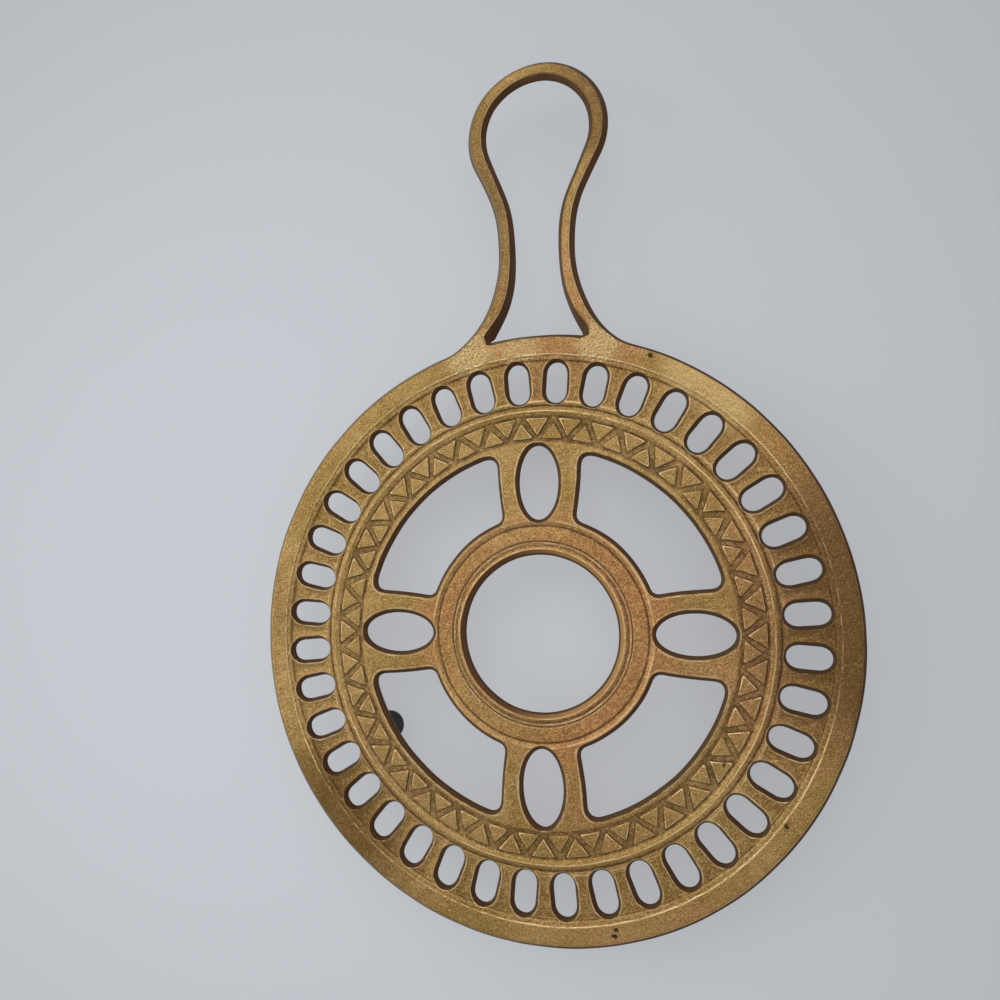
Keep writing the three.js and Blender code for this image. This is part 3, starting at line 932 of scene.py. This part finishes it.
class Value:
    """An output of a node. Python's operators on it add Math nodes."""

    def __init__(self, nodes, socket):
        self.nodes = nodes
        self.socket = socket

    def math(self, operation, *others, swapped=False):
        values = (*others, self) if swapped else (self, *others)
        return self.nodes.add("ShaderNodeMath", {"operation": operation}, dict(enumerate(values)))

    def __add__(self, other):
        return self.math("ADD", other)

    def __radd__(self, other):
        return self.math("ADD", other, swapped=True)

    def __sub__(self, other):
        return self.math("SUBTRACT", other)

    def __rsub__(self, other):
        return self.math("SUBTRACT", other, swapped=True)

    def __mul__(self, other):
        return self.math("MULTIPLY", other)

    def __rmul__(self, other):
        return self.math("MULTIPLY", other, swapped=True)

    def __truediv__(self, other):
        return self.math("DIVIDE", other)

    def __rtruediv__(self, other):
        return self.math("DIVIDE", other, swapped=True)

    def __abs__(self):
        return self.math("ABSOLUTE")

    def larger(self, other):
        """The larger of this value and another."""
        return self.math("MAXIMUM", other)

    def eased(self, low, high, to_low=0.0, to_high=1.0):
        """This value moved smoothly from one range to another."""
        ranges = {"From Min": low, "From Max": high, "To Min": to_low, "To Max": to_high}
        settings = {"interpolation_type": "SMOOTHSTEP"}
        return self.nodes.add("ShaderNodeMapRange", settings, {"Value": self, **ranges})


class Nodes:
    """Adds nodes to a shader's or a Geometry Nodes tree."""

    def __init__(self, tree):
        self.tree = tree

    def add(self, kind, settings=None, sockets=None, output=0):
        """A node of this kind. Its settings come first, then the values or links of its sockets."""
        made = self.tree.nodes.new(kind)
        for name, value in (settings or {}).items():
            setattr(made, name, value)
        for name, value in (sockets or {}).items():
            for one in value if isinstance(value, list) else [value]:
                if isinstance(one, Value):
                    self.tree.links.new(one.socket, made.inputs[name])
                else:
                    made.inputs[name].default_value = one
        return Value(self, made.outputs[output]) if made.outputs else None


def turned_copies(nodes, source, count, first_turn, centre):
    """Copies of an object, evenly turned about the centre."""
    points = nodes.add("GeometryNodePoints", {}, {"Count": count, "Position": centre})
    index = nodes.add("GeometryNodeInputIndex")
    turn = first_turn + index * (2 * math.pi) / count
    euler = nodes.add("ShaderNodeCombineXYZ", {}, {"Z": turn})
    rotation = nodes.add("FunctionNodeEulerToRotation", {}, {0: euler})
    shape = nodes.add("GeometryNodeObjectInfo", {}, {"Object": source}, output="Geometry")
    sockets = {"Points": points, "Instance": shape, "Rotation": rotation}
    return nodes.add("GeometryNodeInstanceOnPoints", {}, sockets)


CASTING_INPUTS = {
    "Band Sector": "NodeSocketObject",
    "Slots": "NodeSocketInt",
    "First Slot": "NodeSocketFloat",
    "Spoke Quarter": "NodeSocketObject",
    "Spokes": "NodeSocketInt",
    "Leg": "NodeSocketObject",
    "Legs": "NodeSocketInt",
    "First Leg": "NodeSocketFloat",
    "Disc Centre": "NodeSocketVector",
    "Weld Distance": "NodeSocketFloat",
    "Finish": "NodeSocketMaterial",
}


def casting_tree():
    """The tree that turns band, spokes and legs round and joins them to the rim and handle."""
    tree = bpy.data.node_groups.new("turn the casting's parts", "GeometryNodeTree")
    tree.interface.new_socket("Rim and Handle", in_out="INPUT", socket_type="NodeSocketGeometry")
    for name, kind in CASTING_INPUTS.items():
        tree.interface.new_socket(name, in_out="INPUT", socket_type=kind)
    tree.interface.new_socket("Casting", in_out="OUTPUT", socket_type="NodeSocketGeometry")
    nodes = Nodes(tree)
    given = nodes.add("NodeGroupInput").socket.node.outputs
    entry = {socket.name: Value(nodes, socket) for socket in given if socket.name}
    centre = entry["Disc Centre"]
    band = turned_copies(nodes, entry["Band Sector"], entry["Slots"], entry["First Slot"], centre)
    spokes = turned_copies(nodes, entry["Spoke Quarter"], entry["Spokes"], 0, centre)
    legs = turned_copies(nodes, entry["Leg"], entry["Legs"], entry["First Leg"], centre)
    sockets = {"Geometry": entry["Rim and Handle"], "Translation": centre}
    rim = nodes.add("GeometryNodeTransform", {}, sockets)
    plate = nodes.add("GeometryNodeJoinGeometry", {}, {"Geometry": [rim, band, spokes]})
    plate = nodes.add("GeometryNodeRealizeInstances", {}, {"Geometry": plate})
    sockets = {"Geometry": plate, "Distance": entry["Weld Distance"]}
    plate = nodes.add("GeometryNodeMergeByDistance", {}, sockets)
    whole = nodes.add("GeometryNodeJoinGeometry", {}, {"Geometry": [plate, legs]})
    whole = nodes.add("GeometryNodeRealizeInstances", {}, {"Geometry": whole})
    sockets = {"Geometry": whole, "Material": entry["Finish"]}
    nodes.add("NodeGroupOutput", {}, {0: nodes.add("GeometryNodeSetMaterial", {}, sockets)})
    return tree


def grown(start, tree, inputs, name):
    """A plain mesh object: what the tree makes of the start object with these inputs."""
    modifier = start.modifiers.new("grow", "NODES")
    modifier.node_group = tree
    for item in tree.interface.items_tree:
        if item.in_out == "INPUT" and item.name in inputs:
            modifier[item.identifier] = inputs[item.name]
    evaluated = start.evaluated_get(bpy.context.evaluated_depsgraph_get())
    mesh = bpy.data.meshes.new_from_object(evaluated)
    start.modifiers.remove(modifier)
    made = bpy.data.objects.new(name, mesh)
    bpy.context.scene.collection.objects.link(made)
    return made


def lathe(name, profile, segments, centre=(0, 0)):
    """A closed solid turned about a vertical axis from (radius, height) points, lowest first."""
    profile = np.array(profile, float)
    angle = np.linspace(0, 360, segments, endpoint=False)
    rings = []
    for radius, z in profile[1:-1]:
        rings.append(np.column_stack([polar(radius, angle) + centre, np.full(segments, z)]))
    low = (*centre, profile[0, 1])
    high = (*centre, profile[-1, 1])
    vertices = np.vstack([*rings, low, high])
    near = np.arange(segments)
    far = (near + 1) % segments
    quads = []
    for i in range(len(rings) - 1):
        a, b = i * segments, (i + 1) * segments
        quads.append(np.column_stack([a + near, a + far, b + far, b + near]))
    last = (len(rings) - 1) * segments
    first_hub = np.column_stack([far, near, np.full(segments, len(vertices) - 2)])
    last_hub = np.column_stack([last + near, last + far, np.full(segments, len(vertices) - 1)])
    mesh = bpy.data.meshes.new(name)
    faces = np.vstack(quads).tolist() + first_hub.tolist() + last_hub.tolist()
    mesh.from_pydata((vertices * MM).tolist(), [], faces)
    made = bpy.data.objects.new(name, mesh)
    bpy.context.scene.collection.objects.link(made)
    return made


def make_leg():
    """A cast leg with a flared root sunk in the plate and the peg that its boot goes over."""
    shoulder = boot_height + BOOT_GAP
    flare = polar(LEG_FLARE, np.linspace(180, 90, 9)) + (LEG_RADIUS + LEG_FLARE, UNDER - LEG_FLARE)
    profile = [
        (0, PEG_END),
        (PEG_RADIUS - 0.4, PEG_END),
        (PEG_RADIUS, PEG_END + 0.4),
        (PEG_RADIUS, shoulder - 0.2),
        (PEG_RADIUS + 0.2, shoulder),
        (LEG_RADIUS - 0.3, shoulder),
        (LEG_RADIUS - 0.08, shoulder + 0.1),
        (LEG_RADIUS, shoulder + 0.35),
        *flare,
        (LEG_RADIUS + LEG_FLARE, UNDER + 0.7),
        (0, UNDER + 0.7),
    ]
    return lathe("leg", profile, 40, centre=(LEG_CIRCLE, 0))


def make_boot(node):
    """A rubber boot: a cup with a rolled top edge, two grip rings and a hollow under its foot."""
    low, high = (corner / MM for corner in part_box(node))
    centre = ((low.x + high.x) / 2, (low.y + high.y) / 2)
    top = boot_height
    foot = boot_radius - 0.02
    neck = foot - 0.33
    bore = PEG_RADIUS + 0.02
    profile = [
        (0, 0.4),
        (foot - 1.7, 0.4),
        (foot - 1.35, 0.05),
        (foot - 1.1, 0),
        (foot - 0.5, 0),
        (foot - 0.15, 0.16),
        (foot, 0.5),
        (foot, 1.7),
        (foot - 0.12, 1.95),
        (foot - 0.16, 2.3),
        (foot - 0.08, 2.5),
        (foot - 0.1, 3.0),
        (foot - 0.24, 3.2),
        (foot - 0.26, 3.7),
        (neck + 0.14, 3.9),
        (neck + 0.12, 4.4),
        (neck, 4.65),
        (neck - 0.02, top - 0.95),
        (neck + 0.12, top - 0.72),
        (neck + 0.16, top - 0.4),
        (neck + 0.04, top - 0.12),
        (neck - 0.25, top),
        (bore + 0.35, top),
        (bore, top - 0.3),
        (bore, PEG_END - 0.1),
        (0, PEG_END - 0.1),
    ]
    return lathe("boot" + node[len("rubber_boot") :], profile, 48, centre)


def cast_wobble(mesh):
    """Moves the casting's points a little, as a hand-made sand mould does, inside its box."""
    points = np.empty(len(mesh.vertices) * 3)
    mesh.vertices.foreach_get("co", points)
    points = points.reshape(-1, 3) / MM
    along = points[:, 1] - DISC_Y
    bars = np.clip((along - DISC_RADIUS) / HANDLE_LEAN_LENGTH, 0, 1)
    loop = np.clip((along - NECK_DISTANCE) / (HANDLE_REACH - NECK_DISTANCE), 0, 1)
    points[:, 0] += HANDLE_LEAN * bars * bars * (3 - 2 * bars) + LOOP_LEAN * loop**1.5
    noise.seed_set(NOISE_SEED)
    moves = np.array([wobble_at(Vector(point)) for point in points])
    mesh.vertices.foreach_set("co", ((points + moves) * MM).ravel())


def wobble_at(point):
    """How far the casting is out of true at a point, in millimetres. The top only sinks."""
    flat = Vector((point.x, point.y, 0))
    wide = noise.noise_vector(point / WIDE_WAVE[0] + Vector((3.1, 7.7, 1.3)))
    close = noise.noise_vector(flat / CLOSE_WAVE[0] + Vector((9.2, 4.1, 6.4)))
    side = wide * WIDE_WAVE[1] + close * CLOSE_WAVE[1]
    dip = noise.noise(flat / SINK_WAVE[0] + Vector((1.9, 5.3, 8.8)))
    return side.x, side.y, -SINK_WAVE[1] - SINK_WAVE[1] * dip


def smooth_normals(mesh):
    """Vertex normals weighted by the faces' areas, so that flats stay flat up to their edges."""
    normals = corner_sums(mesh, face_vectors(mesh))
    lengths = np.maximum(np.linalg.norm(normals, axis=1, keepdims=True), 1e-15)
    normals /= lengths
    mesh.polygons.foreach_set("use_smooth", np.ones(len(mesh.polygons), bool))
    mesh.normals_split_custom_set_from_vertices(normals.tolist())
    return normals


def face_vectors(mesh):
    """Each face's normal times its area."""
    normals = np.empty(len(mesh.polygons) * 3)
    areas = np.empty(len(mesh.polygons))
    mesh.polygons.foreach_get("normal", normals)
    mesh.polygons.foreach_get("area", areas)
    return normals.reshape(-1, 3) * areas[:, None]


def corner_sums(mesh, values):
    """The sum at each vertex of a value of the faces around it."""
    loops = np.empty(len(mesh.loops), int)
    mesh.loops.foreach_get("vertex_index", loops)
    counts = np.empty(len(mesh.polygons), int)
    mesh.polygons.foreach_get("loop_total", counts)
    sums = np.zeros((len(mesh.vertices), values.shape[1]))
    np.add.at(sums, loops, np.repeat(values, counts, axis=0))
    return sums


def mark_bends(mesh, normals, reach):
    """Writes attributes: edge, 1 on ridges, hollow, 1 in corners, and facing, the normal's X."""
    points = np.empty(len(mesh.vertices) * 3)
    mesh.vertices.foreach_get("co", points)
    points = points.reshape(-1, 3) / MM
    face_areas = np.linalg.norm(face_vectors(mesh), axis=1, keepdims=True)
    areas = corner_sums(mesh, face_areas)[:, 0]
    tree = KDTree(len(points))
    for i, point in enumerate(points):
        tree.insert(point, i)
    tree.balance()
    bend = np.zeros(len(points))
    for i, point in enumerate(points):
        near = np.array([index for _, index, _ in tree.find_range(point, reach)])
        away = points[near] - point
        weight = areas[near] * (1 - np.linalg.norm(away, axis=1) / reach)
        bend[i] = (away @ normals[i] * weight).sum() / max(weight.sum(), 1e-15) / reach
    edge, hollow = (np.clip(sign * bend * BEND_GAIN, 0, 1) for sign in (-1, 1))
    for name, values in (("edge", edge), ("hollow", hollow), ("facing", normals[:, 0])):
        mesh.attributes.new(name, "FLOAT", "POINT").data.foreach_set("value", values)


def material(name):
    """A new material, its node helper and its shader."""
    made = bpy.data.materials.new(name)
    made.use_nodes = True
    nodes = Nodes(made.node_tree)
    shader = made.node_tree.nodes["Principled BSDF"]
    return made, nodes, shader


def joined(nodes, value, socket):
    """Links a value to a socket."""
    nodes.tree.links.new(value.socket, socket)


def rgb(red, green, blue):
    """A colour written as it is seen, from 0 to 255, for a node."""
    seen = (red / 255, green / 255, blue / 255)
    return (*(((v + 0.055) / 1.055) ** 2.4 if v > 0.04 else v / 12.92 for v in seen), 1)


def blended(nodes, share, first, second):
    """The first of two colours, with a share of the second."""
    settings = {"data_type": "RGBA", "blend_type": "MIX"}
    return nodes.add("ShaderNodeMix", settings, {0: share, 6: first, 7: second}, output=2)


def painted(nodes, colour, coats):
    """A colour under coats of other colours, each given by its share and its colour."""
    for share, coat in coats:
        colour = blended(nodes, share, colour, coat)
    return colour


def vector_math(nodes, operation, first, second, output="Vector"):
    """What a Vector Math node makes of two vectors."""
    settings = {"operation": operation}
    return nodes.add("ShaderNodeVectorMath", settings, {0: first, 1: second}, output)


def noise_at(nodes, where, scale, detail, roughness, output=0):
    """A noise over the object, its scale in patches to the metre."""
    sockets = {"Vector": where, "Scale": scale, "Detail": detail, "Roughness": roughness}
    return nodes.add("ShaderNodeTexNoise", {"noise_dimensions": "3D"}, sockets, output)


def attribute(nodes, name):
    """A point attribute of the mesh."""
    return nodes.add("ShaderNodeAttribute", {"attribute_name": name}, output=2)


def near(nodes, where, place, full, none):
    """1 within one distance of a place on the casting's top and 0 beyond another."""
    x, y = place
    middle = (x * MM, (y + DISC_Y) * MM, TOP * MM)
    return vector_math(nodes, "DISTANCE", where, middle, "Value").eased(none * MM, full * MM)


def scattered(nodes, where, areas, full):
    """The summed shares of these areas of the casting's top at a point."""
    return sum(near(nodes, where, place, full, reach) * share for place, reach, share in areas)


def circles(radius, wanted):
    """How strongly a point belongs to one of these circles of the relief, from 0 to 1."""
    lines = []
    for middle, half, strength in wanted:
        lines.append(abs(radius - middle).eased(half, half * 0.35, 0, strength))
    return reduce(Value.larger, lines)


def pits_at(nodes, where):
    """1 in the casting's pits and chips, whose outlines are bent out of round."""
    twist = noise_at(nodes, where, 900, 2, 0.5, output=1)
    twist = vector_math(nodes, "SUBTRACT", twist, (0.5, 0.5, 0.5))
    twist = vector_math(nodes, "MULTIPLY", twist, (PIT_BEND * MM,) * 3)
    bent = vector_math(nodes, "ADD", where, twist)
    found = 0
    for radius, angle, size in PITS:
        found = found + near(nodes, bent, polar(radius, angle), size * 0.35, size * 0.85)
    return found


def wall_colour_and_shade(nodes, where, radius, wall, facing):
    """The colour of the walls: brown from their oxide and from painted shade, and lighter with
    painted light where they face the light on the left.
    """
    across = nodes.add("ShaderNodeSeparateXYZ", {}, {0: where}, "X")
    # painted shade: the hole's wall darkens from its lip towards its waist
    hole = blended(nodes, wall.eased(0.95, 1.25), rgb(172, 132, 76), rgb(84, 54, 26))
    inside_walls = blended(nodes, radius.eased(25, 23), rgb(86, 61, 34), hole)
    # painted light: the outer walls on the left side are lighter, lit by the lamp on the left, and
    # darken towards the waist with painted shade
    outside_wall = blended(nodes, wall.eased(0.95, 1.4), rgb(136, 118, 86), rgb(84, 68, 46))
    on_outside = radius.eased(75.5, 77.5) * across.eased(3 * MM, -3 * MM)
    lit_side_colour = blended(nodes, on_outside, inside_walls, outside_wall)
    # painted shade: walls that face right, away from the lamp on the left, turn dark
    return blended(nodes, facing, lit_side_colour, rgb(84, 50, 20))


def make_brass():
    """Old cast brass: golden where handled, with painted highlights, brown in the corners from
    grime and painted shade, pink where the zinc has gone, its walls darkened by oxide and painted
    shade.
    """
    made, nodes, shader = material("cast brass")
    where = nodes.add("ShaderNodeTexCoord", output="Object")
    height = nodes.add("ShaderNodeSeparateXYZ", {}, {0: where}, "Z")
    patches = noise_at(nodes, where, 38, 4, 0.55)
    blush = noise_at(nodes, where, 23, 5, 0.6)
    clouds = noise_at(nodes, where, 300, 4, 0.6)
    specks = noise_at(nodes, where, 950, 4, 0.65)
    grain = noise_at(nodes, where, 2700, 3, 0.6)
    cloud = clouds - 0.5
    speck = specks - 0.5
    names = ("edge", "hollow", "wall", "bevel", "facing", "radius")
    edge, hollow, wall, bevel, facing, radius = (attribute(nodes, name) for name in names)
    radius = radius + cloud * 0.5

    # Where the metal lies: on the top, on a wall, on the ribs or on the centre ring
    on_top = height.eased((TOP - 2.2) * MM, (TOP - 1.4) * MM)
    side = (wall + speck * 0.12).eased(0.36, 0.5)
    # 1 where a surface faces right; it steers the painted light on lips and walls
    to_right = facing.eased(-0.35, 0.35)
    centre = radius.eased(38, 31)
    ribs = radius.eased(RIB_INNER + 0.2, RIB_INNER + 1.2)
    ribs = ribs * radius.eased(RIB_OUTER + 0.2, RIB_OUTER - 0.8)
    # painted shade along the handle's top beside its lips, so that it looks rounder
    handle_edge_shade = wall.eased(0.02, 0.4) * radius.eased(DISC_RADIUS + 0.8, DISC_RADIUS + 4.8)

    # How it has aged, with painted light and shade: darker, hammered, rubbed with a painted
    # highlight, or pitted, worn on ridges with a painted highlight on lips, and grime with painted
    # shade in grooves
    # darker areas of the metal, the largest over the right side
    darker_area = (scattered(nodes, where, DARKER_AREAS, 5) + (patches - 0.5) * 0.6).eased(0.1, 0.9)
    struck = (scattered(nodes, where, HAMMERED, 2) + cloud * 0.8).eased(0.2, 0.8) * (1 - side)
    # rubbed brighter, and on the rim's upper right a painted highlight
    rubbed = (scattered(nodes, where, RUBBED_AND_HIGHLIT, 2) + cloud * 0.7).eased(0.25, 0.8)
    pits = pits_at(nodes, where)
    # lips: worn bright, with a painted highlight that is stronger on lips facing right
    lip = wall.eased(0.1, 0.34) * (1 - side) * (to_right * 0.7 + 0.2)
    lines = circles(radius, WORN_CIRCLES) * (blush + speck * 0.5).eased(0.3, 0.56, 0.35, 1)
    crest = abs(bevel - 0.3).eased(0.24, 0.08) * clouds.eased(0.4, 0.6, 0.2, 0.62)
    wear_and_highlight = (edge * 0.8).larger((lines * (1 - side)).larger(crest) * on_top).larger(lip)
    wear_and_highlight = (wear_and_highlight * (1 - darker_area * 0.45) + cloud * 0.8 + speck * 0.4).eased(0.3, 0.85)
    # grime and painted shade at the triangles' feet, in the grooves and in the corners
    foot = abs(bevel + 0.04).eased(0.26, 0.1, 0, 0.55)
    groove = height.eased((TOP - 0.66) * MM, (TOP - 0.86) * MM) * 0.45
    groove = (groove * radius.eased(BEAD_FOOT + 0.6, BEAD_FOOT + 0.2)).larger(foot)
    grime_and_shade = hollow.larger(circles(radius, DARK_CORNER_CIRCLES) * on_top).larger(groove * on_top)
    grime_and_shade = (grime_and_shade + speck * 0.4 + cloud * 0.3).eased(0.2, 0.75)

    # The colours that cover each other, from the metal up
    light = 1 - darker_area * 0.6
    coats = [
        (patches.eased(0.38, 0.62), rgb(158, 126, 66)),
        (blush.eased(0.5, 0.64, 0, 0.55), rgb(182, 126, 86)),
        (centre * blush.eased(0.4, 0.6, 0.25, 0.55), rgb(190, 128, 82)),
        (clouds.eased(0.46, 0.7, 0, 0.35), rgb(124, 92, 48)),
        (darker_area * 0.75, rgb(88, 62, 32)),
        (ribs * clouds.eased(0.35, 0.6, 0.2, 0.45), rgb(118, 86, 44)),
        (specks.eased(0.54, 0.68, 0, 0.4), rgb(100, 72, 36)),
        (specks.eased(0.46, 0.34, 0, 0.35) * light, rgb(220, 186, 126)),
        (grain.eased(0.52, 0.64, 0, 0.55) * light, rgb(220, 186, 126)),
        (grain.eased(0.48, 0.38, 0, 0.48), rgb(98, 70, 36)),
        # rubbed areas, with a painted highlight on the rim's upper right
        (rubbed * specks.eased(0.4, 0.6, 0.35, 0.7), rgb(232, 200, 138)),
        (struck * grain.eased(0.4, 0.6, 0.2, 0.55), rgb(238, 212, 152)),
        # painted shade beside the handle's lips
        (handle_edge_shade * 0.5, rgb(112, 82, 46)),
        # grime and painted shade in grooves and corners
        (grime_and_shade * 0.88, rgb(64, 40, 14)),
        # the walls: their oxide, with painted light and painted shade
        (side * 0.94, wall_colour_and_shade(nodes, where, radius, wall, to_right)),
        # wear on ridges, with the painted highlight on lips
        (wear_and_highlight * 0.75, rgb(244, 212, 158)),
        (pits * 0.9, rgb(44, 26, 10)),
    ]
    joined(nodes, painted(nodes, rgb(180, 144, 88), coats), shader.inputs["Base Color"])
    rough = patches.eased(0.3, 0.7, 0.42, 0.5) + grime_and_shade * 0.2 + side * 0.1
    joined(nodes, rough - wear_and_highlight * 0.1 - rubbed * 0.06, shader.inputs["Roughness"])
    joined(nodes, 0.95 - grime_and_shade * 0.4 - side * 0.3, shader.inputs["Metallic"])
    dents = nodes.add("ShaderNodeTexVoronoi", {}, {"Vector": where, "Scale": 1100.0})
    bumps = grain * 0.5 + specks * 1.2 + clouds * 1.4 + patches * 2
    bumps = bumps + struck * dents * 2.2 - pits * 3
    bump = nodes.add("ShaderNodeBump", {}, {"Strength": 0.7, "Distance": 0.0003, "Height": bumps})
    joined(nodes, bump, shader.inputs["Normal"])
    return made


def make_rubber():
    """Black rubber, dusty and slightly grained."""
    made, nodes, shader = material("black rubber")
    where = nodes.add("ShaderNodeTexCoord", output="Object")
    dust = noise_at(nodes, where, 420, 4, 0.6)
    grain = noise_at(nodes, where, 3400, 2, 0.5)
    colour = blended(nodes, dust.eased(0.45, 0.8, 0, 0.6), rgb(30, 29, 29), rgb(72, 69, 66))
    joined(nodes, colour, shader.inputs["Base Color"])
    joined(nodes, dust.eased(0.3, 0.8, 0.55, 0.8), shader.inputs["Roughness"])
    bump = nodes.add("ShaderNodeBump", {}, {"Strength": 0.3, "Distance": 0.0001, "Height": grain})
    joined(nodes, bump, shader.inputs["Normal"])
    shader.inputs["Specular IOR Level"].default_value = 0.4
    return made


def make_floor():
    """The pale floor, lighter round a painted pool of light, and part of whose look, in the brass's
    reflections too, is its own light.
    """
    reach = FLOOR_REACH
    corners = [(-reach, -reach, 0), (reach, -reach, 0), (reach, reach, 0), (-reach, reach, 0)]
    mesh = bpy.data.meshes.new("floor")
    mesh.from_pydata(corners, [], [(0, 1, 2, 3)])
    floor = bpy.data.objects.new("floor", mesh)
    bpy.context.scene.collection.objects.link(floor)
    made, nodes, shader = material("pale floor")
    where = nodes.add("ShaderNodeTexCoord", output="Object")
    # painted light: the floor's colour is lightest near one point and darker away from it
    shade = vector_math(nodes, "DISTANCE", where, FLOOR_LIGHT_CENTRE, "Value").eased(*FLOOR_LIGHT_FADE)
    lit = blended(nodes, shade, rgb(210, 213, 218), rgb(184, 186, 189))
    joined(nodes, lit, shader.inputs["Base Color"])
    shader.inputs["Roughness"].default_value = 0.75
    shader.inputs["Specular IOR Level"].default_value = 0.2
    rays = ("Is Camera Ray", "Is Glossy Ray", "Is Transmission Ray")
    seen = reduce(Value.larger, [nodes.add("ShaderNodeLightPath", output=ray) for ray in rays])
    tint = blended(nodes, shade, rgb(200, 203, 208), rgb(176, 178, 180))
    glow = nodes.add("ShaderNodeEmission", {}, {"Color": tint, "Strength": 1.0})
    sockets = {0: seen * FLOOR_GLOW, 1: Value(nodes, shader.outputs[0]), 2: glow}
    surface = nodes.add("ShaderNodeMixShader", {}, sockets)
    joined(nodes, surface, made.node_tree.nodes["Material Output"].inputs["Surface"])
    mesh.materials.append(made)


def make_studio():
    """The floor, the soft lights and the camera above the object."""
    make_floor()
    scene = bpy.context.scene
    scene.world = bpy.data.worlds.new("studio")
    scene.world.use_nodes = True
    sky = scene.world.node_tree.nodes["Background"]
    sky.inputs["Color"].default_value = SKY_COLOUR
    sky.inputs["Strength"].default_value = SKY_STRENGTH

    middle = Vector((0, DISC_Y, TOP)) * MM
    for name, place, size, power in LAMPS:
        light = bpy.data.lights.new(name, "AREA")
        light.energy = power
        light.size = size
        lamp = bpy.data.objects.new(name, light)
        lamp.location = middle + Vector(place)
        lamp.rotation_euler = (-Vector(place)).to_track_quat("-Z", "Y").to_euler()
        scene.collection.objects.link(lamp)

    lens = bpy.data.cameras.new("camera")
    lens.sensor_width = 36
    lens.lens = FOCAL_PIXELS / PICTURE_PIXELS * lens.sensor_width
    lens.clip_start = 0.01
    camera = bpy.data.objects.new("camera", lens)
    camera.location = middle + Vector(CAMERA_PLACE) * MM
    camera.rotation_mode = "ZYX"
    camera.rotation_euler = [math.radians(angle) for angle in CAMERA_TURN]
    scene.collection.objects.link(camera)
    scene.camera = camera
    scene.view_settings.view_transform = "Standard"


brass = make_brass()
rubber = make_rubber()

sector = patch_object("band sector", *band_sector())
quarter = patch_object("spoke quarter", *spoke_quarter())
leg = make_leg()
rim = patch_object("rim and handle", *rim_and_handle())
casting_sizes = {
    "Band Sector": sector,
    "Slots": SLOT_COUNT,
    "First Slot": math.radians(PITCH / 2),
    "Spoke Quarter": quarter,
    "Spokes": SPOKE_COUNT,
    "Leg": leg,
    "Legs": LEG_COUNT,
    "First Leg": math.radians(90),
    "Disc Centre": (0, DISC_Y * MM, 0),
    "Weld Distance": 2e-6,
    "Finish": brass,
}
casting = grown(rim, casting_tree(), casting_sizes, "casting")
for pattern in (sector, quarter, leg, rim):
    bpy.data.objects.remove(pattern)
cast_wobble(casting.data)
mark_bends(casting.data, smooth_normals(casting.data), BEND_REACH)
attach(casting, "root")
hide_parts("brass_casting")

for node in BOOT_NODES:
    boot = make_boot(node)
    boot.data.materials.append(rubber)
    smooth_normals(boot.data)
    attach(boot, "root")
    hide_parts(node)

make_studio()
